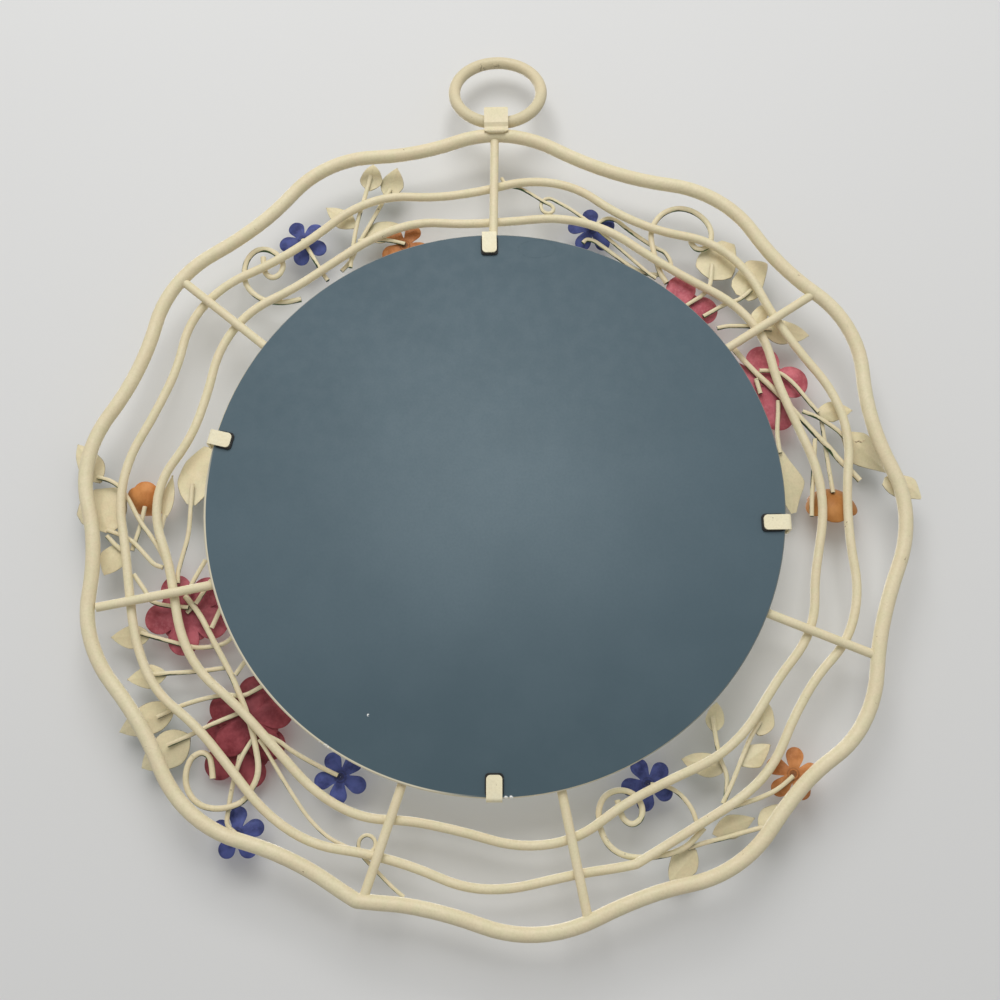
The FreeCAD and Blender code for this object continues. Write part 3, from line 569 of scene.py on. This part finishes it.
def petal_paint(name, light, dark, speckle, speckle_share, collared):
    """Thin enamel, darker in the middle, with a collar of weld where one is wanted and painted
    shade in the recess and the groove round that collar.
    """
    graph = Graph(name + "_petals")
    marks = graph.add("ShaderNodeUVMap", uv_map=sheet_maps[1][0]).outputs[0]
    reach = graph.part(marks, 0)
    share = graph.part(graph.coords.outputs["UV"], 1)
    streaks = graph.noise(*streak_pattern, graph.coords.outputs["UV"], streak_stretch)
    cloud = graph.noise(*petal_cloud)
    tone = graph.math("MULTIPLY_ADD", streaks, streak_share,
                      graph.math("MULTIPLY", cloud, 1 - streak_share))
    base = graph.mix(graph.band(tone, *petal_levels), dark, light)
    base = graph.cover(base, speckle, graph.grain(*petal_speckle), speckle_share)
    base = graph.mix(graph.band(share, *petal_middle), base, dark)
    # Painted shade: a dark recess at the weld and a dark groove round its collar
    recess_shade = graph.band(reach, *recess_levels, recess_shade_share * collared, 0.0)
    groove_shade = graph.math("MULTIPLY", graph.band(reach, *groove_in),
                        graph.band(reach, *groove_out, groove_shade_share * collared, 0.0))
    base = graph.mix(graph.math("MAXIMUM", recess_shade, groove_shade), base, under_paint_and_shade)
    rim = graph.math("MULTIPLY", graph.band(share, *petal_rim), graph.grain(*petal_rim_grain))
    base = graph.cover(base, dark, rim, petal_rim_share)
    collar = graph.math("MULTIPLY", graph.band(reach, *collar_in),
                        graph.band(reach, *collar_out, collared, 0.0))
    normal = graph.bump(streaks, streak_depth, streak_strength)
    normal = graph.bump(collar, collar_depth, collar_strength, normal)
    normal = graph.bump(graph.noise(*petal_bump), petal_bump_depth, petal_bump_strength, normal)
    return graph.finish(base, graph.band(cloud, *even, *petal_sheen), normal, petal_gloss)


def rubber():
    graph = Graph("pad_rubber")
    base = graph.mix(graph.grain(*rubber_tone), rubber_black, rubber_grey)
    normal = graph.bump(graph.noise(*rubber_grain), rubber_depth, rubber_strength)
    return graph.finish(base, graph.grain(*sheens["rubber"]), normal, plain_gloss)


def weld_paint():
    graph = Graph("weld_scar")
    return enamel(graph, graph.mix(graph.grain(*weld_tone), weld_brown, cream_warm), "weld")


def scuff_mask(graph):
    """A faint oval rub mark near the top of the lacquer."""
    offset = graph.add("ShaderNodeVectorMath", operation="SUBTRACT")
    graph.put(graph.place, offset.inputs[0])
    offset.inputs[1].default_value = (scuff_across, 0, scuff_up)
    squash = graph.add("ShaderNodeVectorMath", operation="MULTIPLY")
    graph.put(offset.outputs[0], squash.inputs[0])
    squash.inputs[1].default_value = (1 / scuff_half, 0, scuff_squash / scuff_half)
    size = graph.add("ShaderNodeVectorMath", operation="LENGTH")
    graph.put(squash.outputs[0], size.inputs[0])
    away = graph.math("ABSOLUTE", graph.math("SUBTRACT", size.outputs["Value"], 1.0))
    line = graph.band(away, *scuff_line, 1.0, 0.0)
    return graph.math("MULTIPLY", line, graph.grain(*scuff_grain))


def glass_lacquer(graph, middle, back, radius):
    """Clouded grey-blue lacquer, with a painted reflection in the middle and painted shade below.
    """
    centre = Vector((middle.x, back, middle.z + radius * reflection_rise))
    # Painted reflection: lighter about a spot a little above the middle
    painted_reflection = graph.spot(centre, radius * reflection_radius, radius * reflection_blur)
    # Painted shade: darker towards the bottom
    painted_lower_shade = graph.band(graph.part(graph.place, 2), middle.z - radius * lower_shade_start, middle.z - radius)
    lacquer = graph.mix(painted_reflection, glass_paint, glass_light_and_reflection)
    lacquer = graph.cover(lacquer, glass_dark_and_shade, painted_lower_shade, lower_shade_share)
    lacquer = graph.cover(lacquer, glass_dark_and_shade, graph.grain(*glass_broad), broad_share)
    lacquer = graph.cover(lacquer, glass_light_and_reflection, graph.grain(*glass_cloud), cloud_share)
    return graph.cover(lacquer, glass_dark_and_shade, graph.grain(*glass_fine), fine_share)


def glass_rim(graph, middle, back, radius):
    """A mask of the ground edge, strongest where the light falls on it as a painted highlight, and
    of the line at the lower left that the lacquer missed.
    """
    facing = graph.math("ABSOLUTE", graph.part(graph.normal, 1))
    # Painted highlight: the ground edge shows most where the light falls on it
    lit = graph.band(graph.along(graph.normal, (1, 0, -1)), *lit_levels, lit_least, 1.0)
    ground = graph.math("MULTIPLY", graph.band(facing, *ground_levels, 1.0, 0.0), lit)
    out = graph.distance((middle.x, back, middle.z))
    aside = graph.math("MULTIPLY", graph.math("SUBTRACT", graph.part(graph.place, 0), middle.x),
                       bare_across)
    drop = graph.math("SUBTRACT", graph.part(graph.place, 2), middle.z)
    left_low = graph.math("MULTIPLY_ADD", drop, bare_down, aside)
    bare = graph.math("MULTIPLY", graph.band(out, radius - bare_from, radius - bare_to),
                      graph.band(left_low, *(radius * level for level in bare_levels)))
    return graph.math("MAXIMUM", ground, bare)


def mirror():
    """Grey-blue lacquer behind, a ground rim, and silvering in front."""
    graph = Graph("mirror_glass")
    low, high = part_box("mirror_glass")
    middle, back, radius = (low + high) / 2, high.y, (high.x - low.x) / 2
    front = graph.band(graph.part(graph.normal, 1), *front_levels)
    behind = graph.math("SUBTRACT", 1.0, front)
    colour = graph.mix(glass_rim(graph, middle, back, radius),
                       glass_lacquer(graph, middle, back, radius), glass_edge)
    colour = graph.mix(front, colour, silver)
    for across, up, size in glass_chips:
        chip = graph.spot(Vector((across * mm, back, up * mm)), size * mm, glass_chip_blur)
        colour = graph.cover(colour, white_chip, chip, graph.grain(*glass_chip_grain))
    colour = graph.cover(colour, glass_dark_and_shade, scuff_mask(graph), scuff_share)
    rough = graph.math("MULTIPLY", graph.grain(*sheens["glass"]), behind)
    graph.put(front, graph.shader.inputs["Metallic"])
    normal = graph.bump(graph.math("MULTIPLY", graph.noise(*glass_wave), behind),
                        wave_depth, wave_strength)
    return graph.finish(colour, graph.math("ADD", rough, mirror_roughness), normal, glass_gloss)


def one_sided(name, shade):
    """Matte and plain to a camera in front of it, and not there for anything else."""
    material = bpy.data.materials.new(name)
    material.use_nodes = True
    tree = material.node_tree
    shader = tree.nodes["Principled BSDF"]
    shader.inputs["Roughness"].default_value = stage_roughness
    shader.inputs["Specular IOR Level"].default_value = stage_gloss
    coords = tree.nodes.new("ShaderNodeTexCoord")
    grain = tree.nodes.new("ShaderNodeTexNoise")
    grain.inputs["Scale"].default_value = stage_grain
    tree.links.new(coords.outputs["Object"], grain.inputs["Vector"])
    tone = tree.nodes.new("ShaderNodeMix")
    tone.data_type = "RGBA"
    for socket, tint in zip((tone.inputs[6], tone.inputs[7]), stage_tints):
        socket.default_value = (*(shade * part for part in tint), 1)
    tree.links.new(grain.outputs["Fac"], tone.inputs[0])
    tree.links.new(tone.outputs[2], shader.inputs["Base Color"])
    path = tree.nodes.new("ShaderNodeLightPath")
    face = tree.nodes.new("ShaderNodeNewGeometry")
    ahead = tree.nodes.new("ShaderNodeMath")
    ahead.operation = "SUBTRACT"
    ahead.inputs[0].default_value = 1.0
    tree.links.new(face.outputs["Backfacing"], ahead.inputs[1])
    shown = tree.nodes.new("ShaderNodeMath")
    shown.operation = "MULTIPLY"
    tree.links.new(path.outputs["Is Camera Ray"], shown.inputs[0])
    tree.links.new(ahead.outputs[0], shown.inputs[1])
    clear = tree.nodes.new("ShaderNodeBsdfTransparent")
    both = tree.nodes.new("ShaderNodeMixShader")
    tree.links.new(shown.outputs[0], both.inputs[0])
    tree.links.new(clear.outputs[0], both.inputs[1])
    tree.links.new(shader.outputs[0], both.inputs[2])
    tree.links.new(both.outputs[0], tree.nodes["Material Output"].inputs["Surface"])
    return material


def add_object(name, mesh_data):
    thing = bpy.data.objects.new(name, mesh_data)
    bpy.context.scene.collection.objects.link(thing)
    return thing


def stage_plane(name, depth, facing, shade):
    """A wide plane across the scene, which faces backwards where facing is above zero."""
    half = stage_half
    corners = [(-half, depth, -half), (half, depth, -half),
               (half, depth, half), (-half, depth, half)]
    if facing > 0:
        corners.reverse()
    data = bpy.data.meshes.new(name)
    data.from_pydata(corners, [], [(0, 1, 2, 3)])
    data.materials.append(one_sided(name, shade))
    plane = add_object(name, data)


def make_stage():
    low, high = cad_bounds
    stage_plane("table_top", low.y - table_gap, 1, table_shade)
    stage_plane("wall", high.y + wall_gap, -1, wall_shade)
    world = bpy.data.worlds.new("studio")
    world.use_nodes = True
    tree = world.node_tree
    background = tree.nodes["Background"]
    coords = tree.nodes.new("ShaderNodeTexCoord")
    split = tree.nodes.new("ShaderNodeSeparateXYZ")
    tree.links.new(coords.outputs["Generated"], split.inputs[0])
    rise = tree.nodes.new("ShaderNodeMapRange")
    rise.inputs["From Min"].default_value = -1.0
    rise.inputs["From Max"].default_value = 1.0
    rise.inputs["To Min"].default_value = sky_bottom
    rise.inputs["To Max"].default_value = sky_top
    tree.links.new(split.outputs[2], rise.inputs["Value"])
    tree.links.new(rise.outputs["Result"], background.inputs["Strength"])
    background.inputs["Color"].default_value = sky_white
    bpy.context.scene.world = world


def lamp(name, place, size, power):
    data = bpy.data.lights.new(name, "AREA")
    data.shape = "SQUARE"
    data.size = size
    data.energy = power
    light = bpy.data.objects.new(name, data)
    light.location = place
    light.rotation_mode = "QUATERNION"
    light.rotation_quaternion = (camera_target - place).to_track_quat("-Z", "Y")
    bpy.context.scene.collection.objects.link(light)


def make_camera():
    data = bpy.data.cameras.new("camera")
    data.lens = camera_lens
    data.sensor_width = camera_sensor
    data.clip_start = camera_near
    data.clip_end = camera_far
    camera = bpy.data.objects.new("camera", data)
    bpy.context.scene.collection.objects.link(camera)
    back = Vector((0, math.cos(camera_tilt), -math.sin(camera_tilt)))
    right = Vector((-1, 0, 0))
    up = Vector((0, math.sin(camera_tilt), math.cos(camera_tilt)))
    turned_right = right * math.cos(camera_roll) + up * math.sin(camera_roll)
    turned_up = up * math.cos(camera_roll) - right * math.sin(camera_roll)
    spot = camera_target + back * camera_distance
    rows = [[turned_right[i], turned_up[i], back[i], spot[i]] for i in range(3)]
    camera.matrix_world = Matrix(rows + [[0, 0, 0, 1]])
    bpy.context.scene.camera = camera


def cad_points(node):
    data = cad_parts[node].data
    flat = np.zeros(len(data.vertices) * 3)
    data.vertices.foreach_get("co", flat)
    return flat.reshape(-1, 3)


def cad_triangles(node):
    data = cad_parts[node].data
    data.calc_loop_triangles()
    flat = np.zeros(len(data.loop_triangles) * 3, int)
    data.loop_triangles.foreach_get("vertices", flat)
    return flat.reshape(-1, 3)


def area_middle(node):
    """The middle of a node's surface, which lies on the axis of a blossom."""
    points, triangles = cad_points(node), cad_triangles(node)
    a, b, c = (points[triangles[:, i]] for i in range(3))
    areas = np.linalg.norm(np.cross(b - a, c - a), axis=1)
    return Vector(((a + b + c) / 3 * areas[:, None]).sum(0) / areas.sum())


def solids_of(node):
    """The points of each separate solid in a node."""
    work = bmesh.new()
    work.from_mesh(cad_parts[node].data)
    bmesh.ops.remove_doubles(work, verts=work.verts, dist=solid_joint)
    seen, groups = set(), []
    for start in work.verts:
        if start in seen:
            continue
        group, queue = [], [start]
        seen.add(start)
        while queue:
            vertex = queue.pop()
            group.append(vertex.co.copy())
            for edge in vertex.link_edges:
                other = edge.other_vert(vertex)
                if other not in seen:
                    seen.add(other)
                    queue.append(other)
        groups.append(group)
    work.free()
    return groups


def sheet_object(name, rows, closed, material):
    """A sheet of metal from rows of back-side points with their UVs, thickened forwards."""
    data = bpy.data.meshes.new(name)
    points = [point for row in rows for point, _ in row]
    marks = [mark for row in rows for _, mark in row]
    count = len(rows[0])
    faces = []
    for i in range(len(rows) - 1):
        for j in range(count if closed else count - 1):
            k = (j + 1) % count
            below, above = i * count, (i + 1) * count
            faces.append((below + j, below + k, above + k, above + j))
    data.from_pydata(points, [], faces)
    for layer_name, first in sheet_maps:
        layer = data.uv_layers.new(name=layer_name)
        for loop in data.loops:
            layer.data[loop.index].uv = marks[loop.vertex_index][first:first + 2]
    data.materials.append(material)
    thing = add_object(sheet_piece, data)
    work = bmesh.new()
    work.from_mesh(data)
    bmesh.ops.remove_doubles(work, verts=work.verts, dist=sheet_joint)
    bmesh.ops.recalc_face_normals(work, faces=work.faces)
    work.faces.ensure_lookup_table()
    if sum(face.normal.y * face.calc_area() for face in work.faces) < 0:
        bmesh.ops.reverse_faces(work, faces=work.faces)
    for face in work.faces:
        face.smooth = True
    work.to_mesh(data)
    work.free()
    shell = thing.modifiers.new("sheet", "SOLIDIFY")
    shell.thickness = sheet_thickness
    shell.offset = -1
    smooth = thing.modifiers.new("smooth", "SUBSURF")
    smooth.levels = 1
    smooth.render_levels = 1
    return thing


def outline_reach(angle, distance, radius, notch):
    """How far a blossom's outline lies from its middle, at an angle from a petal's own line."""
    lean = abs(angle)
    touch = math.asin(radius / distance)
    if lean <= touch:
        chord = max(0.0, radius ** 2 - (distance * math.sin(lean)) ** 2)
        return distance * math.cos(lean) + math.sqrt(chord)
    half = math.pi / petal_count
    edge = math.sqrt(distance ** 2 - radius ** 2)
    start = Vector((edge * math.cos(touch), edge * math.sin(touch)))
    end = Vector((notch * math.cos(half), notch * math.sin(half)))
    ray = Vector((math.cos(lean), math.sin(lean)))
    run = end - start
    share = (start.x * ray.y - start.y * ray.x) / (run.y * ray.x - run.x * ray.y)
    return (start + run * share).length


def ease(low, high, value):
    """0 below a low value, 1 above a high one, and smooth between."""
    share = min(1.0, max(0.0, (value - low) / (high - low)))
    return share * share * (3 - 2 * share)


def blossom_rows(pole, tilt, turn, shape, seed, bend):
    """Back-side rows of a stamped blossom, from its middle out to its rim."""
    sizes = (shape[key] * mm for key in ("distance", "radius", "notch", "cup"))
    distance, radius, notch, cup = sizes
    webbed = shape.get("webbed", 0.0)
    chance = random.Random(seed)
    bends = [chance.uniform(*bend_range) * bend for _ in range(petal_count)]
    folds = [chance.uniform(*fold_range) for _ in range(petal_count)]
    curls = [chance.uniform(*curl_range) for _ in range(petal_count)]
    rows = []
    reach_most = distance + radius
    for ring in range(petal_rings + 1):
        share = (ring / petal_rings) ** rim_crowding
        row = []
        for step in range(petal_count * petal_steps):
            petal = step // petal_steps
            across = (step % petal_steps + 0.5) / petal_steps * 2 - 1
            crowded = math.sin(across * math.pi / 2)
            across = crowded * notch_crowding + across * (1 - notch_crowding)
            lean = across * math.pi / petal_count
            reach = outline_reach(lean, distance, radius, notch)
            reach = (reach + (reach_most - reach) * webbed) * max(share, hub_share)
            aside = reach * math.sin(lean) / radius
            out = ease(notch * curl_root, reach_most, reach)
            fold = math.exp(-((aside - folds[petal]) / fold_width) ** 2)
            sag = cup - math.sqrt(cup ** 2 - reach ** 2)
            sag += radius * side_curl * curls[petal] * aside ** 2 * out
            sag += bends[petal] * max(0.0, reach - notch * bend_root)
            sag -= radius * fold_height * fold * out * bend
            sag += radius * rim_curl * ease(rim_start, 1.0, reach / reach_most) * curls[petal]
            place = [count * part for count, part in zip((step, ring, seed), wobble_steps)]
            sag += petal_wobble * noise.noise(Vector(place)) * out
            angle = turn + petal * 2 * math.pi / petal_count + lean
            offset = Vector((-reach * math.cos(angle), -sag, reach * math.sin(angle)))
            mark = (step / (petal_count * petal_steps), share, reach / mm, lean)
            row.append((pole + tilt @ offset, mark))
        rows.append(row)
    return rows


def petal_turn(node, pole, tilt):
    """The angle of a blossom's first petal, read from the points that lie farthest out."""
    back = np.array(tilt.inverted())
    points = (cad_points(node) - np.array(pole)) @ back.T
    out = np.hypot(points[:, 0], points[:, 2])
    far = points[out > out.max() - rim_slack]
    sweep = 2 * math.pi / petal_count
    angles = np.arctan2(far[:, 2], -far[:, 0])
    spin = np.angle(np.exp(1j * angles * petal_count).mean())
    return spin / petal_count % sweep


def blossom_pole(node, lean, cup):
    """The middle of a blossom's back, from its box and the middle of its surface."""
    middle = area_middle(node)
    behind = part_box(node)[1].y - cup * mm * (1 - math.cos(lean))
    run = (behind - middle.y) / math.cos(lean)
    return Vector((middle.x, behind, middle.z + run * math.sin(lean)))


def blossom_sheets(node):
    """Name, shape, place ahead and turn of each sheet that a blossom is made of."""
    if node.startswith("pink"):
        outer_shape = wide_shape if node == "pink_blossom_c" else large_shape
        return [("back_petals", outer_shape, 0.0, 0.0),
                ("front_petals", inner_shape, inner_ahead, math.pi / petal_count)]
    if node in leans:
        return [("petals", bell_shape if leans[node] > 0 else bud_shape, 0.0, 0.0)]
    return [("petals", small_shape, 0.0, 0.0)]


def blossom(node, material):
    seed = sum(ord(letter) for letter in node)
    sheets = blossom_sheets(node)
    lean = math.radians(leans.get(node, 0.0))
    tilt = Matrix.Rotation(lean, 3, "X")
    pole = blossom_pole(node, lean, sheets[0][1]["cup"])
    turn = petal_turn(node, pole, tilt)
    for label, shape, ahead, extra in sheets:
        bend = 1.0 if shape in (small_shape, large_shape, wide_shape) else stiff_bend
        root = pole - Vector((0, ahead, 0))
        rows = blossom_rows(root, tilt, turn + extra, shape, seed, bend)
        thing = sheet_object(node + "_" + label, rows, True, material)
        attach(thing, "frame")
        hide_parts(node)


def leaf_frame(points):
    """Base, tip and half width of one leaf. Its base is the end that touches the stem."""
    flat = np.array([(p.x, p.z) for p in points])
    centre = flat.mean(0)
    _, vectors = np.linalg.eigh(np.cov((flat - centre).T))
    axis = vectors[:, 1]
    along = (flat - centre) @ axis
    ends = [points[int(along.argmin())], points[int(along.argmax())]]
    base, tip = sorted(ends, key=lambda p: -p.y)
    side = np.array([-axis[1], axis[0]])
    half = np.abs((flat - np.array((base.x, base.z))) @ side).max()
    return base, tip, half


def outline_widths(table, share):
    """Left and right half width shares at a share of the length, straight from row to row."""
    for before, after in zip(table, table[1:]):
        if share <= after[0]:
            part = (share - before[0]) / (after[0] - before[0])
            return [before[side] + (after[side] - before[side]) * part for side in (1, 2)]
    return list(table[-1][1:])


def leaf_half_width(length, half, share, kite, phase):
    """Half width of a pointed oval at a share of its length, part of the way to a kite."""
    run = (1 - leaf_waist if share > leaf_waist else leaf_waist) * length
    bow = (run ** 2 + half ** 2) / (2 * half)
    off = (share - leaf_waist) * length
    arc = half - (bow - math.sqrt(max(0.0, bow ** 2 - off ** 2)))
    straight = half * (1 - abs(off) / run)
    ripple = 1 + ripple_share * math.sin(ripple_turns * share + phase)
    return max(leaf_least_width, arc * (1 - kite) + straight * kite) * ripple


def leaf_rows(name, points, seed):
    """Back-side rows of a leaf, from its base to its tip."""
    base, tip, half = leaf_frame(points)
    pole = max(p.y for p in points)
    highest = [p for p in points if p.y > pole - pole_slack]
    held = sum(highest, Vector()) / len(highest)
    if (held - base).length < held_least:
        held = base
    along = Vector((tip.x - base.x, 0, tip.z - base.z))
    length = along.length
    along.normalize()
    side = along.cross(Vector((0, 1, 0)))
    chance = random.Random(seed)
    crease = chance.uniform(*crease_range)
    lift = chance.uniform(*lift_range)
    twist = chance.uniform(*twist_range)
    wave = chance.uniform(*wave_range)
    phase = chance.uniform(*phase_range)
    kite = chance.uniform(*kite_range)
    rows = []
    for step in range(leaf_steps + 1):
        share = 0.5 - 0.5 * math.cos(math.pi * step / leaf_steps)
        width = leaf_half_width(length, half, share, kite, phase)
        left, right = width, width
        if name in leaf_outlines:
            left, right = (half * part for part in outline_widths(leaf_outlines[name], share))
        row = []
        for lane in range(leaf_lanes + 1):
            across = lane / leaf_lanes * 2 - 1
            aside = abs(across)
            offset = -left + (left + right) * lane / leaf_lanes
            point = Vector((base.x, 0, base.z)) + along * share * length + side * offset
            out = math.hypot(point.x - held.x, point.z - held.z)
            midrib = math.exp(-(across / midrib_width) ** 2) * ease(*midrib_rise, share)
            vein = math.sin((share * vein_count - aside * vein_slant) * math.pi)
            sag = leaf_cup - math.sqrt(leaf_cup ** 2 - out ** 2)
            sag += crease * aside * width * ease(*crease_rise, share)
            sag -= crease * midrib_height * width * midrib
            sag += twist * across * width * share
            sag += lift * share * length
            sag += wave * mm * math.sin(wave_turns * share + phase) * across ** 2
            sag += vein_depth * vein * aside * (1 - aside)
            point.y = pole - sag
            row.append((point, (share, aside, out / mm, 0.0)))
        rows.append(row)
    return rows


def leaves(node, material):
    for index, points in enumerate(solids_of(node)):
        name = node + "_" + str(index + 1)
        rows = leaf_rows(name, points, index + sum(ord(letter) for letter in node))
        thing = sheet_object(name, rows, False, material)
        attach(thing, "frame")
        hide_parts(node)


def weld_seam(name, path, radius, material):
    """An uneven run of weld metal along a path, drawn out into overlapping ripples."""
    data = bpy.data.meshes.new(name)
    work = bmesh.new()
    rings = []
    count = (len(path) - 1) * seam_steps
    for step in range(count + 1):
        start = min(step // seam_steps, len(path) - 2)
        middle = path[start].lerp(path[start + 1], step / seam_steps - start)
        along = (path[start + 1] - path[start]).normalized()
        side = along.orthogonal().normalized()
        other = along.cross(side)
        inside = min(step, count - step) / seam_steps + seam_tip
        end = math.sin(math.pi * min(1.0, max(seam_tip, inside)) / 2)
        swell = seam_size + seam_ripple * math.sin(step * ripple_turn)
        swell = (swell + seam_lump * noise.noise(middle * lump_scale)) * radius * end
        ring = []
        for lane in range(seam_lanes):
            turn = 2 * math.pi * lane / seam_lanes
            spoke = side * math.cos(turn) + other * math.sin(turn)
            ring.append(work.verts.new(middle + spoke * swell))
        rings.append(ring)
    for first, second in zip(rings, rings[1:]):
        for lane in range(seam_lanes):
            k = (lane + 1) % seam_lanes
            work.faces.new((first[lane], first[k], second[k], second[lane]))
    work.faces.new(rings[0])
    work.faces.new(rings[-1])
    bmesh.ops.recalc_face_normals(work, faces=work.faces)
    for face in work.faces:
        face.smooth = True
    work.to_mesh(data)
    work.free()
    data.materials.append(material)
    thing = add_object(name, data)
    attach(thing, "frame")


def strap_welds(material):
    """A seam along each lower end of the strap, where it lies on the outer hoop."""
    low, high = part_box("hanger_strap")
    start, end = low.x + strap_weld_margin, high.x - strap_weld_margin
    for name, depth in (("strap_weld_back", high.y - strap_weld_radius),
                        ("strap_weld_front", low.y + strap_weld_radius)):
        shares = [step / strap_weld_runs for step in range(strap_weld_runs + 1)]
        path = [Vector((start + (end - start) * share, depth, low.z - strap_weld_drop))
                for share in shares]
        weld_seam(name, path, strap_weld_radius, material)


def leaf_weld():
    """The scar on the back of a leaf, drawn behind the leaves of its spray."""
    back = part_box("leaves_c")[1].y
    path = [Vector((x * mm, back - drop * mm, z * mm)) for x, z, drop in leaf_scar_points]
    weld_seam("leaf_scar", path, leaf_scar_radius, weld_paint())


def paint_node(node, material):
    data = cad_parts[node].data
    data.materials.clear()
    data.materials.append(material)
    for face in data.polygons:
        face.material_index = 0
        face.use_smooth = True


bpy.context.scene.view_settings.view_transform = "Standard"
make_camera()
make_stage()
lamp("key", key_place, key_size, key_power)
lamp("front_fill", front_place, front_size, front_power)

cream_enamel = cream_paint()
stem_enamel = stem_paint()
leaf_enamel = leaf_paint()
clip_enamel = clip_paint()
pad_finish = rubber()
petals = {name: petal_paint(name, *values) for name, values in petal_enamels.items()}

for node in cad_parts:
    kinds = [kind for kind in blossom_kinds if node.startswith(kind[0])]
    if kinds:
        blossom(node, petals[kinds[0][1]])
    elif node.startswith("leaves"):
        leaves(node, leaf_enamel)
    elif node == "mirror_glass":
        paint_node(node, mirror())
    elif node == "hanging_ring":
        paint_node(node, ring_paint())
    elif node.startswith("clip_pad"):
        paint_node(node, pad_finish)
    elif node.startswith("clip_"):
        paint_node(node, clip_enamel)
    elif node.startswith(("stems", "tendril", "scroll", "main_stem")):
        paint_node(node, stem_enamel)
    else:
        paint_node(node, cream_enamel)

strap_welds(cream_enamel)
leaf_weld()
